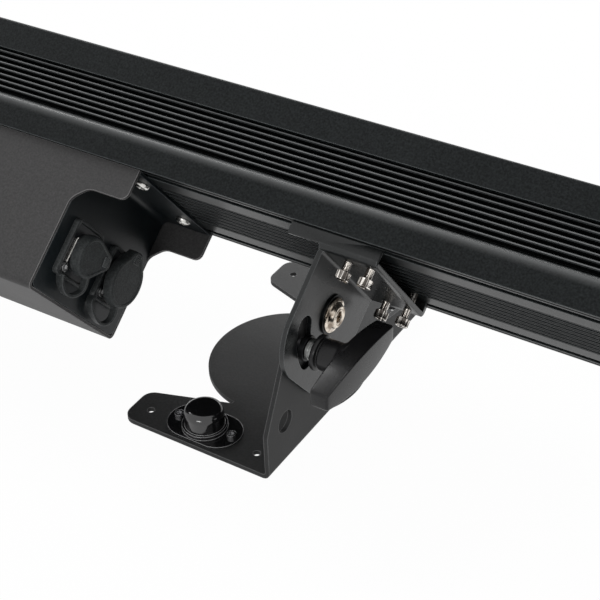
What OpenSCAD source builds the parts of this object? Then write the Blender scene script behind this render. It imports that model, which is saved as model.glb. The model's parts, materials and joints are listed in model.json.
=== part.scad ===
// LED strobe bar on two tilting feet, in millimetres, +Z up. The origin is on
// the floor, in the middle of the space that the part takes up. The bar is
// drawn in its own frame, with X along it, Y to its back and Z to its light,
// its zero on the pivot axis, and is then tilted about that axis.

/* [Bar] */
// Length over both end caps
bar_len = 1000; // [820:10:1400]
// Depth from the front side to the back side
bar_depth = 110; // [108:1:124]
// Height of the sides, from the underside to the light face
bar_h = 65.4; // [62:0.2:80]
// Thickness of each cast end cap
cap_t = 10; // [6:0.5:16]
// Height of the smooth band below the fins
low_band_h = 16.5; // [15:0.5:18]
// Number of cooling fins on each side
fin_count = 7; // [4:1:7]
// Distance from fin to fin
fin_pitch = 3.6; // [3:0.1:3.7]
// Thickness of a fin
fin_t = 1.3; // [0.8:0.1:2]
// Depth of the gaps between the fins
fin_depth = 6.5; // [4:0.25:7]

/* [Tilt] */
// Angle that the light leans back from straight up
tilt = 52; // [30:1:70]
// Height of the pivot axis over the floor
pivot_h = 77; // [76.5:0.5:84]
// Pivot axis to the underside of the bar
pivot_gap = 32.6; // [32:0.1:36]
// Distance between the two tongues
foot_pitch = 600; // [560:10:780]
// Radius of the arc slot
slot_r = 29.5; // [28.5:0.25:30]
// Least lean that the slot allows
lean_min = 26; // [22:1:29]
// Greatest lean that the slot allows
lean_max = 74; // [71:1:75]

/* [Feet] */
// Depth of a foot, front edge to back edge
foot_depth = 186; // [180:1:220]
// Reach of the two arms from the bend
foot_reach = 105; // [100:1:114]
// Thickness of the foot's steel plate
foot_t = 3; // [2:0.25:4]
// Pivot axis behind the foot's front edge
pivot_set = 65; // [62:0.5:72]
// Radius of the round lobe between the arms
lobe_r = 49.5; // [42:0.5:50]
// Diameter of the screw holes in the arms
arm_hole_d = 4.5; // [3.5:0.5:6.5]
// Diameter of the safety cable hole in the upright
cable_hole_d = 14; // [10:0.5:16]

/* [Connector box] */
// Length of the box under the bar, between its end panels
box_len = 288.8; // [270:0.8:320]
// Drop of the box below the pivot axis
box_drop = 53.5; // [50:0.5:54.5]
// Depth of the box, front to back
box_depth = 105; // [102:0.5:107]
// Length of the ears past each end panel
ear_len = 35.6; // [30:0.2:37]
// Thickness of the box sheet
sheet_t = 2; // [1.5:0.1:2.5]
// Distance between the two sockets on a panel
socket_pitch = 46; // [46:0.5:50]

/* [Lock handle] */
// Length of the grip
grip_len = 72; // [56:1:73]
// Height of the grip at its middle
grip_h = 20; // [14:0.1:21]
// Reach of the grip's inner side from the tongue
grip_reach = 24.8; // [22:0.4:28]

/* [Hidden] */
$fn = 48;

// Overrun of every cut past the face that it opens
over = 1;
// Gap between two flat faces that slide on each other
slide_gap = 0.1;
// Radial clearance of a shaft that turns in its hole
run_gap = 0.05;
// Clearance of a piece that is dropped into its seat
seat_gap = 0.3;

// Where things stand
half_bar = bar_len / 2;
foot_x = foot_pitch / 2;
half_depth = bar_depth / 2;
half_box = box_depth / 2;
box_fold_r = 4;
box_front = pivot_set - (half_box - box_fold_r) * cos(tilt)
    - (box_drop - box_fold_r) * sin(tilt) - box_fold_r;
y_mid = (min(0, box_front) + foot_depth) / 2;
pivot_y = pivot_set - y_mid;

// Housing section, measured up from the underside
lip_t = 3.5;
shoulder_r = 4;
fin_set = 2;
top_round = 1.5;
fin_base = low_band_h + shoulder_r;
fin_end = fin_base + fin_count * fin_pitch + fin_t;
root_y = half_depth - fin_set - fin_depth;
skin_t = 3.5;
groove_set = 6;
groove_w = 7;
groove_in = half_depth - groove_set - groove_w;
groove_d = 6.2;
hook_shelf = 2.6;
hook_cut = groove_set - lip_t;
web_t = 3.3;
rib_field = 27;
rib_count = 7;
rib_w = 3.6;
rib_d = 1;
trough_wall = 9;
trough_y = half_depth - trough_wall;
floor_z = fin_end - web_t;
rebate_d = 7.4;
rebate_z = bar_h - rebate_d;
rebate_y = half_depth - lip_t;
boss_r = 1.65;

// Window, reflector and board
gasket_t = 1.5;
gasket_w = 4.5;
glass_t = 4;
board_t = 1.6;
board_y = trough_y - 2 * gasket_t;
cell_count = 20;
cell_rim = 3;
cell_foot_share = 0.72;
reflector_wall = 1.2;
led_w = 5;
led_h = 0.9;
led_rows = 3;
led_cols = 2;
led_pitch_x = 9;
led_pitch_y = 17;

// End caps
cap_corner = 4;
cap_gasket_t = 1.5;
cap_screw_r = 2;
cap_head_r = 3.6;
cap_head_h = 2.6;
cap_screw_len = 16;
cap_screw_low = (groove_d + low_band_h) / 2;
cap_screw_top = (fin_end + rebate_z) / 2;
cap_screw_mid = trough_y / 2;
cap_screw_in = (root_y - skin_t + half_depth) / 2;
cap_screw_up = trough_y + cap_head_r;
hex_share = 0.55;

// Box
box_top = pivot_gap;
tab_w = 11.5;
ear_drop = 19.6;
ear_corner = 5;
ear_neck = 9;
ear_step = 8.5;
panel_flange_fold = 4;
panel_screw_y = 29.3;
panel_screw_in = 10;
panel_screw_r = 2;
panel_head_r = 4.2;
panel_head_h = 2.6;

// Sockets
socket_drop = 20;
frame_w = 32;
frame_h = 35.5;
frame_t = 3.2;
frame_corner = 3;
flange_w = 26;
flange_h = 31;
flange_t = 2.4;
flange_corner = 2;
barrel_r = 11.7;
barrel_out = 5;
barrel_in = 21;
mouth_r = 9.6;
mouth_depth = 17;
mouth_floor = barrel_out - mouth_depth;
pin_r = 1.25;
pin_ring_r = 5;
pin_len = 6.5;
blade_w = 5;
blade_t = 1.2;
socket_screw_r = 1.5;
socket_head_r = 2.8;
socket_head_h = 1.5;
socket_screw_x = 9.5;
socket_screw_z = 12;

// Caps and their straps
dmx_cap_r = 13;
dmx_tab_turn = 10;
power_cap_r = 16.5;
power_tab_turn = 93;
cap_disc_t = 7;
cap_edge = 1.2;
plug_len = 8;
plug_gap = 0.08;
tab_reach = 4;
tab_half = 4.6;
tab_t = 4;
tab_corner = 2;
tab_spread = 52;
neck_reach = 3;
neck_spread = 30;
strap_t = 2;
strap_w = 6;
strap_drop = 3.5;
strap_x = barrel_out + seat_gap + cap_disc_t / 2;

// Inside the box
wire_room = 2;
parts_gap = 6;
inner_len = box_len - 2 * (barrel_in + wire_room);
driver_len = 72;
driver_x = (inner_len - driver_len) / 2;
driver_up = 12;
driver_z = driver_up + sheet_t - box_drop;
supply_len = inner_len - driver_len - parts_gap;
supply_x = (supply_len - inner_len) / 2;
supply_side = 3.5;
supply_h = 34;
terminal_len = 12;
terminal_h = 14;
post_r = 3;
chip_h = 6;
chip_w = 14;
coil_r = 9;
coil_h = 14;
heat_w = 10;
heat_h = 20;

// Keypad on the back of the box
bezel_w = 118;
bezel_h = 34;
bezel_t = 3;
bezel_corner = 5;
keypad_z = -12;
glass_w = 44;
glass_h = 17;
display_x = -28;
display_t = 2;
button_r = 4.6;
button_lip_r = 5.8;
button_lip_t = 1;
button_out = 1.8;
button_pitch = 14;
button_x = 10;
button_gap = 0.3;
switch_w = 4;
switch_t = 0.9;
vent_r = 8;
vent_h = 5;
vent_hex_r = 10;
vent_x = 104;
vent_stem_r = 6;
vent_stem = 8;
supply_depth = box_depth - 2 * (vent_stem + supply_side);

// Saddle, with its sheet, walls, hooks and tongue
saddle_t = 3;
saddle_reach = 36.4;
saddle_play = 0.6;
saddle_wall_y = groove_in + saddle_play + saddle_t;
saddle_low = 23.7;
saddle_bend = 4;
wall_start = 0.5;
hook_reach = 20;
hook_drop = 5.8;
hook_low = pivot_gap - hook_drop;
hook_lip = 4.8;
tongue_half = saddle_wall_y - saddle_t - slide_gap;
tongue_low = 44.5;
tongue_corner = 28;
tongue_bend = 5;
slot_gap = 0.8;
slot_spare = 1.2;
jack_r = 2.5;
jack_head_r = 4.25;
jack_head_h = 5;
jack_x = 16.2;
jack_step = 14;
jack_y = 34.7;
jack_shank = 5.7;
socket_depth = 2.5;

// Foot
foot_face = -slide_gap;
foot_bend = 5;
arm_w = 26;
arm_root = 42.5;
arm_corner = 8;
arm_hole_in = 13;
arm_hole_far = 12;
arm_hole_near = 17.3;
lobe_in = 46.5;
front_rise = 32;
crown_set = 27.5;
crown_z = 88;
crown_r = 26;
crown_half = 25.5;
rail_z = 34.5;
rail_end_z = 15;
nick_r = 3;
edge_r = 10;
cable_hole_y = 18.5;
cable_hole_z = 30.7;

// Quick-lock receptacle on the front arm
lock_x = 56;
lock_y = 16.6;
lock_plate_len = 48.5;
lock_plate_w = 29.4;
lock_plate_t = 1.4;
dome_r = 12;
dome_h = 15.8;
dome_round = 4.2;
dome_foot_r = 13.6;
dome_foot_h = 2.5;
lock_bore_r = 7;
lock_bore_h = 12;
lock_screw_x = 18.6;
lock_screw_r = 1.5;
lock_head_r = 2.9;
lock_head_h = 2;

// Pivot bolt
bolt_r = 5;
bolt_fit = 0.1;
bolt_head_r = 10.5;
bolt_head_h = 4;
bolt_flange_h = 1.2;
bolt_crown_r = 6.9;
bolt_hex = 3.6;
washer_r = 11.9;
washer_t = 1.2;
nut_r = 9.8;
nut_h = 9;
nut_washer_r = 10.5;
nut_washer_t = 2;
bolt_spare = 2;

// Lock stud and handle
stud_angle = 84;
stud_r = 4;
stud_head_r = 10;
stud_head_h = 4.4;
lock_washer_r = 9.4;
lock_washer_t = 3;
bush_r = 7.3;
bush_out = 5.8;
bush_in = 13;
bush_in_r = 6;
collar_r = 10.6;
collar_t = 3;
collar_lip = 0.8;
neck_r = 8.4;
neck_out_r = 9.4;
handle_bore = 15;
grip_end_h = 10;
grip_end_t = 11;
grip_sag_in = 0.8;
grip_sag_out = 1.6;

// Turns children from the bar's frame to the rest pose
module tilted() {
    translate([0, pivot_y, pivot_h]) rotate([-tilt, 0, 0]) children();
}

// Moves children from a foot's frame to the floor; the left foot is mirrored
module standing(left = false) {
    mirror([left ? 1 : 0, 0, 0]) translate([foot_x, -y_mid, 0]) children();
}

// Children drawn for the right end are mirrored to the left end
module ended(left = false) {
    mirror([left ? 1 : 0, 0, 0]) children();
}

// Extrudes a shape drawn in Y and Z along X, from x0 to x1
module along_x(x0, x1) {
    translate([x0, 0, 0]) rotate([90, 0, 90]) linear_extrude(x1 - x0) children();
}

// Extrudes a shape drawn in X and Z along Y, from y0 to y1
module along_y(y0, y1) {
    translate([0, y1, 0]) rotate([90, 0, 0]) linear_extrude(y1 - y0) children();
}

// A straight rod along X, from x0 to x1
module rod_x(x0, x1, r) {
    translate([x0, 0, 0]) rotate([0, 90, 0]) cylinder(h = x1 - x0, r = r);
}

// A hexagonal bar along X, from x0 to x1, r to its corners
module hex_x(x0, x1, r) {
    translate([x0, 0, 0]) rotate([0, 90, 0]) cylinder(h = x1 - x0, r = r, $fn = 6);
}

// A rectangle with round corners, centred
module round_rect(w, h, r) {
    square([w - 2 * r, h], center = true);
    square([w, h - 2 * r], center = true);
    for (sx = [-1, 1])
        for (sy = [-1, 1])
            translate([sx * (w / 2 - r), sy * (h / 2 - r)]) circle(r);
}

// The outline p with each corner i rounded to radius r[i], in n steps
function unit(v) = v / norm(v);
function corner_arc(a, b, c, r, n) =
    r == 0 ? [b] :
    let (u = unit(a - b), v = unit(c - b))
    let (half = acos(max(-1, min(1, u * v))) / 2)
    let (run = min(r / tan(half), norm(a - b) / 2, norm(c - b) / 2))
    let (rr = run * tan(half))
    let (m = b + unit(u + v) * rr / sin(half))
    let (s = b + u * run - m, e = b + v * run - m)
    let (sweep = acos(max(-1, min(1, s * e / (rr * rr)))))
    [for (i = [0 : n])
        m + (s * sin(sweep * (1 - i / n)) + e * sin(sweep * i / n)) / sin(sweep)];
function rounded(p, r, n = 8) =
    let (k = len(p))
    [for (i = [0 : k - 1])
        each corner_arc(p[(i + k - 1) % k], p[i], p[(i + 1) % k], r[i], n)];

// Housing: one extrusion with finned sides and grooves under it
module housing_outline() {
    side = [
        [half_depth, 0], [half_depth, fin_base], [root_y, fin_base],
        [root_y, fin_end], [half_depth, fin_end], [half_depth, bar_h]];
    round_r = [0, shoulder_r, 0, 0, 0, top_round];
    k = len(side);
    left = [for (i = [k - 1 : -1 : 0]) [-side[i][0], side[i][1]]];
    left_r = [for (i = [k - 1 : -1 : 0]) round_r[i]];
    polygon(rounded(concat(side, left), concat(round_r, left_r), 6));
}

module fin_rows() {
    tip = half_depth - fin_set;
    for (s = [-1, 1])
        for (i = [0 : fin_count - 1])
            translate([s * (tip + root_y - fin_t) / 2, fin_base + (i + 1) * fin_pitch - fin_t / 2])
                square([tip - root_y + fin_t, fin_t], center = true);
}

module groove_cut(s) {
    x0 = s > 0 ? groove_in : -groove_in - groove_w;
    translate([x0, -over]) square([groove_w, groove_d + over]);
    x1 = s > 0 ? groove_in : -groove_in - groove_w - hook_cut;
    translate([x1, hook_shelf]) square([groove_w + hook_cut, groove_d - hook_shelf]);
}

module screw_wells(r) {
    for (s = [-1, 1]) {
        translate([s * cap_screw_in, cap_screw_low]) circle(r);
        translate([s * cap_screw_up, cap_screw_top]) circle(r);
        translate([s * cap_screw_mid, floor_z]) circle(r);
    }
}

module housing_section() {
    chamber = root_y - skin_t;
    difference() {
        union() {
            housing_outline();
            fin_rows();
        }
        for (s = [-1, 1]) groove_cut(s);
        for (i = [0 : rib_count - 1])
            translate([-rib_field + (i + 0.5) * 2 * rib_field / rib_count - rib_w / 2, -over])
                square([rib_w, rib_d + over]);
        translate([-chamber, groove_d + web_t])
            square([2 * chamber, floor_z - web_t - groove_d - web_t]);
        translate([-trough_y, fin_end]) square([2 * trough_y, bar_h]);
        translate([-rebate_y, rebate_z]) square([2 * rebate_y, bar_h]);
        screw_wells(boss_r);
    }
}

half_housing = half_bar - cap_t - cap_gasket_t;

module housing() {
    color("#2b2e2f") tilted() translate([0, 0, pivot_gap])
        difference() {
            along_x(-half_housing, half_housing) housing_section();
            // Wire hole down into the box and up to the board
            translate([driver_x, 0, -over]) cylinder(h = groove_d + web_t + 2 * over, r = coil_r);
            translate([driver_x, 0, floor_z - over - web_t])
                cylinder(h = 2 * web_t + 2 * over, r = coil_r / 2);
        }
}

// End caps: cast plates, screwed on over a gasket
module cap_outline() {
    translate([0, bar_h / 2]) round_rect(bar_depth, bar_h, cap_corner);
}

module end_cap(left) {
    color("#242627") tilted() ended(left) translate([0, 0, pivot_gap])
        difference() {
            along_x(half_bar - cap_t, half_bar) cap_outline();
            along_x(half_bar - cap_t - over, half_bar + over) screw_wells(cap_screw_r + seat_gap);
            along_x(half_bar - cap_head_h, half_bar + over) screw_wells(cap_head_r + seat_gap);
        }
}

module end_cap_gaskets() {
    color("#151515") tilted() translate([0, 0, pivot_gap])
        for (left = [false, true])
            ended(left) along_x(half_housing, half_bar - cap_t)
                difference() {
                    translate([0, bar_h / 2])
                        round_rect(bar_depth - fin_set, bar_h - fin_set, cap_corner);
                    chamber = root_y - skin_t;
                    translate([-chamber, groove_d + web_t])
                        square([2 * chamber, floor_z - web_t - groove_d - web_t]);
                    screw_wells(cap_screw_r + seat_gap);
                }
}

module end_cap_screws() {
    color("#8d8f90") tilted() translate([0, 0, pivot_gap])
        for (left = [false, true])
            ended(left) difference() {
                union() {
                    along_x(half_bar - cap_head_h, half_bar) screw_wells(cap_head_r);
                    along_x(half_bar - cap_screw_len, half_bar - cap_head_h)
                        screw_wells(boss_r - run_gap);
                }
                for (s = [-1, 1])
                    for (p = [[cap_screw_in, cap_screw_low], [cap_screw_up, cap_screw_top],
                            [cap_screw_mid, floor_z]])
                        translate([0, s * p[0], p[1]])
                            hex_x(half_bar - cap_head_h / 2, half_bar + over,
                                cap_head_r * hex_share);
            }
}

// Window: a strip of glass on a gasket in the housing's rebate
window_half = half_housing - seat_gap;
window_y = rebate_y - seat_gap;

module window_gasket() {
    color("#1a1a1a") tilted() translate([0, 0, pivot_gap + rebate_z])
        difference() {
            translate([-window_half, -window_y, 0])
                cube([2 * window_half, 2 * window_y, gasket_t]);
            translate([-window_half + gasket_w, -window_y + gasket_w, -over])
                cube([2 * (window_half - gasket_w), 2 * (window_y - gasket_w),
                    gasket_t + 2 * over]);
        }
}

module window_glass() {
    color([0.75, 0.85, 0.88, 0.35]) tilted()
        translate([-window_half, -window_y, pivot_gap + rebate_z + gasket_t])
            cube([2 * window_half, 2 * window_y, glass_t]);
}

// Reflector: a row of tapered cells over the lamps
cell_pitch = 2 * window_half / cell_count;
tray_z = fin_end + board_t;
tray_h = rebate_z - tray_z - seat_gap;
tray_y = trough_y - seat_gap;

module reflector() {
    open_x = cell_pitch - cell_rim;
    open_y = 2 * tray_y - 2 * cell_rim;
    color("#d9dcde") tilted() translate([0, 0, pivot_gap + tray_z])
        difference() {
            translate([-window_half, -tray_y, 0])
                cube([2 * window_half, 2 * tray_y, tray_h]);
            for (i = [0 : cell_count - 1])
                translate([(i + 0.5) * cell_pitch - window_half, 0, reflector_wall])
                    linear_extrude(tray_h, scale = 1 / cell_foot_share)
                        square([open_x * cell_foot_share, open_y * cell_foot_share],
                            center = true);
            for (i = [0 : cell_count - 1])
                for (p = led_places(i))
                    translate([p[0], p[1], -over])
                        linear_extrude(reflector_wall + 2 * over)
                            square(led_w + 2 * seat_gap, center = true);
        }
}

// The lamps of cell i, as X and Y places
function led_places(i) = [
    for (a = [0 : led_cols - 1])
        for (b = [0 : led_rows - 1])
            [(i + 0.5) * cell_pitch - window_half + (a - (led_cols - 1) / 2) * led_pitch_x,
                (b - (led_rows - 1) / 2) * led_pitch_y]];

module led_board() {
    color("#f1f1ec") tilted() translate([-window_half, -board_y, pivot_gap + fin_end])
        cube([2 * window_half, 2 * board_y, board_t]);
}

module leds() {
    color("#e8d24a") tilted() translate([0, 0, pivot_gap + fin_end + board_t])
        for (i = [0 : cell_count - 1])
            for (p = led_places(i))
                translate([p[0] - led_w / 2, p[1] - led_w / 2, 0])
                    cube([led_w, led_w, led_h]);
}

// Box hood: a folded trough with ears past the end panels
half_box_len = box_len / 2;

module hood_side_outline() {
    x1 = half_box_len;
    x2 = half_box_len + ear_len;
    z1 = box_top - ear_drop;
    right = [
        [x1, -box_drop], [x1, z1 - ear_step], [x1 + ear_neck, z1], [x2, z1], [x2, box_top]];
    right_r = [0, ear_neck, ear_neck, ear_corner, 0];
    k = len(right);
    left = [for (i = [k - 1 : -1 : 0]) [-right[i][0], right[i][1]]];
    left_r = [for (i = [k - 1 : -1 : 0]) right_r[i]];
    polygon(rounded(concat(right, left), concat(right_r, left_r), 6));
}

module hood_trough(grow) {
    translate([0, (box_top - box_drop + box_fold_r) / 2])
        round_rect(box_depth - 2 * grow, box_top + box_drop + box_fold_r - 2 * grow,
            box_fold_r - grow);
}

module box_hood() {
    x2 = half_box_len + ear_len;
    keypad_hole_w = bezel_w - 2 * bezel_corner;
    keypad_hole_h = bezel_h - 2 * bezel_corner;
    color("#4b4b4c") tilted() difference() {
        union() {
            intersection() {
                along_x(-x2, x2) difference() {
                    intersection() {
                        hood_trough(0);
                        translate([-half_box, -box_drop])
                            square([box_depth, box_top + box_drop]);
                    }
                    hood_trough(sheet_t);
                }
                along_y(-half_box, half_box) hood_side_outline();
            }
            // Turned-in tabs that lie against the underside
            for (s = [-1, 1])
                translate([-half_box_len + sheet_t + seat_gap,
                        s > 0 ? half_box - tab_w : -half_box, box_top - sheet_t])
                    cube([box_len - 2 * sheet_t - 2 * seat_gap, tab_w, sheet_t]);
        }
        translate([0, half_box - sheet_t / 2, keypad_z])
            cube([keypad_hole_w, sheet_t + 2 * over, keypad_hole_h], center = true);
        translate([-vent_x, half_box - sheet_t - over, keypad_z])
            rotate([-90, 0, 0]) cylinder(h = sheet_t + 2 * over, r = vent_stem_r + seat_gap);
    }
}

// End panels: angled sheets with the sockets, screwed under the bar
module end_panel(left) {
    inner = half_box - sheet_t - seat_gap;
    x1 = half_box_len;
    x2 = half_box_len + ear_len;
    low = -box_drop + sheet_t + seat_gap;
    color("#1d2021") tilted() ended(left) difference() {
        along_y(-inner, inner)
            polygon(rounded(
                [[x1 - sheet_t, low], [x1, low], [x1, box_top - sheet_t],
                    [x2, box_top - sheet_t], [x2, box_top], [x1 - sheet_t, box_top]],
                [0, 0, panel_flange_fold, 0, 0, 0]));
        // Lower corners follow the hood's folds
        for (s = [-1, 1])
            translate([x1 - sheet_t / 2, s * inner, low])
                difference() {
                    cube([sheet_t + 2 * over, 2 * box_fold_r, 2 * box_fold_r], center = true);
                    translate([0, -s * box_fold_r, box_fold_r]) rotate([0, 90, 0])
                        cylinder(h = sheet_t + 4 * over, r = box_fold_r, center = true);
                    translate([0, -s * (half_box + box_fold_r), 0])
                        cube([sheet_t + 4 * over, box_depth, box_depth], center = true);
                }
        for (s = [-1, 1])
            translate([0, s * socket_pitch / 2, -socket_drop])
                rod_x(x1 - sheet_t - over, x1 + over, barrel_r + seat_gap);
        for (s = [-1, 1])
            translate([x2 - panel_screw_in, s * panel_screw_y, 0])
                cylinder(h = box_top + over, r = panel_screw_r + seat_gap);
    }
}

module panel_screws() {
    color("#b9bbbc") tilted() for (left = [false, true])
        ended(left) for (s = [-1, 1])
            translate([half_box_len + ear_len - panel_screw_in, s * panel_screw_y,
                    box_top - sheet_t - panel_head_h])
                difference() {
                    union() {
                        cylinder(h = panel_head_h, r = panel_head_r);
                        cylinder(h = panel_head_h + sheet_t, r = panel_screw_r);
                    }
                    translate([0, 0, -over])
                        cylinder(h = panel_head_h / 2 + over, r = panel_head_r * hex_share,
                            $fn = 6);
                }
}

// Sockets: a flange, a barrel through the panel, and the contacts in it
module at_socket(left, s) {
    ended(left) translate([half_box_len, s * socket_pitch / 2, -socket_drop]) children();
}

module socket_shell() {
    along_x(0, flange_t) round_rect(flange_w, flange_h, flange_corner);
    rod_x(-barrel_in, barrel_out, barrel_r);
}

module dmx_socket(left, s) {
    color("#35383a") tilted() at_socket(left, s) {
        difference() {
            socket_shell();
            rod_x(mouth_floor, barrel_out + over, mouth_r);
            for (a = [-1, 1])
                translate([0, a * socket_screw_x, a * socket_screw_z])
                    rod_x(-over, flange_t + over, socket_screw_r);
        }
        for (a = [90, 210, 330])
            rotate([a, 0, 0]) translate([0, 0, pin_ring_r])
                rod_x(mouth_floor - over, mouth_floor + pin_len, pin_r);
    }
}

module power_socket(left, s) {
    color("#35383a") tilted() at_socket(left, s) {
        difference() {
            socket_shell();
            rod_x(mouth_floor, barrel_out + over, mouth_r);
            for (a = [-1, 1])
                translate([0, a * socket_screw_x, a * socket_screw_z])
                    rod_x(-over, flange_t + over, socket_screw_r);
        }
        for (a = [0, 120, 240])
            rotate([a, 0, 0])
                translate([mouth_floor - over, -blade_w / 2, pin_ring_r - blade_t / 2])
                    cube([pin_len + over, blade_w, blade_t]);
    }
}

module socket_screws() {
    color("#9b9d9e") tilted() for (left = [false, true])
        for (s = [-1, 1])
            at_socket(left, s) for (a = [-1, 1])
                translate([flange_t, a * socket_screw_x, a * socket_screw_z]) {
                    difference() {
                        rod_x(0, socket_head_h, socket_head_r);
                        hex_x(socket_head_h / 2, socket_head_h + over,
                            socket_head_r * hex_share);
                    }
                }
    color("#9b9d9e") tilted() for (left = [false, true])
        for (s = [-1, 1])
            at_socket(left, s) for (a = [-1, 1])
                translate([0, a * socket_screw_x, a * socket_screw_z])
                    rod_x(0, flange_t, socket_screw_r);
}

// Seal and strap: a rubber frame round the flange, and a loop out to the cap
module strap(left, s, r) {
    root_x = frame_t / 2;
    loop_r = (strap_x - root_x) / 2;
    loop_z = -frame_h / 2 - strap_drop;
    color("#17191a") tilted() at_socket(left, s) {
        along_x(0, frame_t) difference() {
            round_rect(frame_w, frame_h, frame_corner);
            round_rect(flange_w + seat_gap, flange_h + seat_gap, flange_corner);
        }
        along_y(-strap_w / 2, strap_w / 2) {
            translate([root_x + loop_r, loop_z]) intersection() {
                difference() {
                    circle(loop_r + strap_t / 2);
                    circle(loop_r - strap_t / 2);
                }
                translate([-2 * loop_r, -2 * loop_r]) square([4 * loop_r, 2 * loop_r]);
            }
            translate([root_x - strap_t / 2, loop_z]) square([strap_t, strap_drop + strap_t / 2]);
            translate([strap_x - strap_t / 2, loop_z])
                square([strap_t, -r - neck_reach - seat_gap - loop_z]);
        }
    }
}

// Cap: a rubber disc with a plug in the socket, a pull tab and the strap's neck
module rubber_cap(left, s, r, turn) {
    x0 = barrel_out + seat_gap;
    tip = r + tab_reach;
    low = -r - neck_reach;
    color("#26292a") tilted() at_socket(left, s) {
        translate([x0, 0, 0]) rotate([0, 90, 0]) rotate_extrude()
            polygon([[0, 0], [r - cap_edge / 2, 0], [r, cap_edge],
                [r, cap_disc_t - cap_edge], [r - cap_edge, cap_disc_t], [0, cap_disc_t]]);
        rod_x(x0 - plug_len, x0, mouth_r - plug_gap);
        rotate([turn, 0, 0]) along_x(x0 + cap_disc_t - cap_edge / 2 - tab_t,
            x0 + cap_disc_t - cap_edge / 2)
            polygon(rounded([[0, 0], [r * cos(tab_spread), -r * sin(tab_spread)],
                [tip, -tab_half], [tip, tab_half],
                [r * cos(tab_spread), r * sin(tab_spread)]],
                [0, 0, tab_corner, tab_corner, 0], 4));
        along_x(strap_x - strap_t / 2, strap_x + strap_t / 2)
            polygon([[0, 0], [-r * sin(neck_spread), -r * cos(neck_spread)],
                [-strap_w / 2, low], [strap_w / 2, low],
                [r * sin(neck_spread), -r * cos(neck_spread)]]);
    }
}

// Inside the box: a caged supply and a driver board on posts
module power_supply() {
    color("#a9acae") tilted() translate([supply_x, 0, 0]) {
        difference() {
            translate([-supply_len / 2, -supply_depth / 2, -box_drop + sheet_t])
                cube([supply_len, supply_depth, supply_h]);
            translate([supply_len / 2 - terminal_len, -supply_depth / 2 - over,
                    -box_drop + sheet_t + terminal_h])
                cube([terminal_len + over, supply_depth + 2 * over, supply_h]);
        }
    }
}

module driver_board() {
    color("#1f6b3a") tilted() translate([driver_x, 0, driver_z]) {
        translate([-driver_len / 2, -supply_depth / 2, 0])
            cube([driver_len, supply_depth, board_t]);
        for (sx = [-1, 1])
            for (sy = [-1, 1])
                translate([sx * (driver_len / 2 - 2 * post_r), sy * (supply_depth / 2 - 2 * post_r),
                        -box_drop + sheet_t - driver_z])
                    cylinder(h = box_drop - sheet_t + driver_z, r = post_r);
        translate([-chip_w / 2, -chip_w / 2, board_t]) cube([chip_w, chip_w, chip_h]);
        translate([-driver_len / 4, -supply_depth / 4, board_t]) cylinder(h = coil_h, r = coil_r);
        translate([-driver_len / 4, supply_depth / 8, board_t])
            cube([heat_w, 2 * heat_w, heat_h]);
    }
}

// Keypad on the back: bezel, display window and four buttons
module at_keypad() {
    translate([0, half_box, keypad_z]) rotate([-90, 0, 0]) children();
}

module keypad_bezel() {
    color("#101212") tilted() at_keypad() difference() {
        union() {
            linear_extrude(bezel_t) round_rect(bezel_w, bezel_h, bezel_corner);
            translate([0, 0, -sheet_t])
                linear_extrude(sheet_t + over)
                    square([bezel_w - 2 * bezel_corner - 2 * seat_gap,
                        bezel_h - 2 * bezel_corner - 2 * seat_gap], center = true);
        }
        translate([display_x, 0, bezel_t - display_t])
            linear_extrude(display_t + over) square([glass_w, glass_h], center = true);
        for (i = [0 : 3])
            translate([button_place(i), 0, 0]) {
                translate([0, 0, -sheet_t - over])
                    cylinder(h = sheet_t + bezel_t + 2 * over, r = button_r + button_gap);
                translate([0, 0, -sheet_t - over])
                    cylinder(h = sheet_t + over + bezel_t / 2 - slide_gap,
                        r = button_lip_r + button_gap);
            }
    }
}

module display_window() {
    color("#0b2a3a") tilted() at_keypad()
        translate([display_x, 0, bezel_t - display_t])
            linear_extrude(display_t - slide_gap)
                square([glass_w - seat_gap, glass_h - seat_gap], center = true);
}

// The board behind the bezel, with a switch under each button
module keypad_board() {
    color("#1f6b3a") tilted() at_keypad() {
        translate([0, 0, -sheet_t - board_t]) linear_extrude(board_t)
            square([bezel_w - 2 * bezel_corner - 2 * seat_gap,
                bezel_h - 2 * bezel_corner - 2 * seat_gap], center = true);
        for (i = [0 : 3])
            translate([button_place(i), 0, -sheet_t]) linear_extrude(switch_t)
                square(switch_w, center = true);
    }
}

function button_place(i) = button_x + (i - 0.5) * button_pitch;

module push_button(i) {
    color("#3b3e40") tilted() at_keypad()
        translate([button_place(i), 0, 0]) {
            translate([0, 0, bezel_t / 2 - button_lip_t - 2 * slide_gap])
                cylinder(h = button_lip_t, r = button_lip_r);
            translate([0, 0, bezel_t / 2 - 2 * slide_gap])
                cylinder(h = bezel_t / 2 + button_out, r = button_r);
        }
}

module vent_plug() {
    color("#2a2c2d") tilted() translate([-vent_x, half_box, keypad_z]) rotate([-90, 0, 0]) {
        cylinder(h = vent_h / 2, r = vent_hex_r, $fn = 6);
        translate([0, 0, vent_h / 2]) cylinder(h = vent_h / 2, r = vent_r);
        translate([0, 0, -vent_stem]) cylinder(h = vent_stem, r = vent_stem_r);
    }
}

// Saddle: folded steel that hooks into the bar's grooves and ends in the tongue
slot_a0 = stud_angle - lean_min;
slot_a1 = stud_angle - lean_max;
slot_w = stud_r + slot_gap;
slot_extra = 180 * slot_spare / (PI * slot_r);

// A point at angle a from straight down, to the front, round the pivot
function swung(a, r) = [-r * sin(a), -r * cos(a)];

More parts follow.
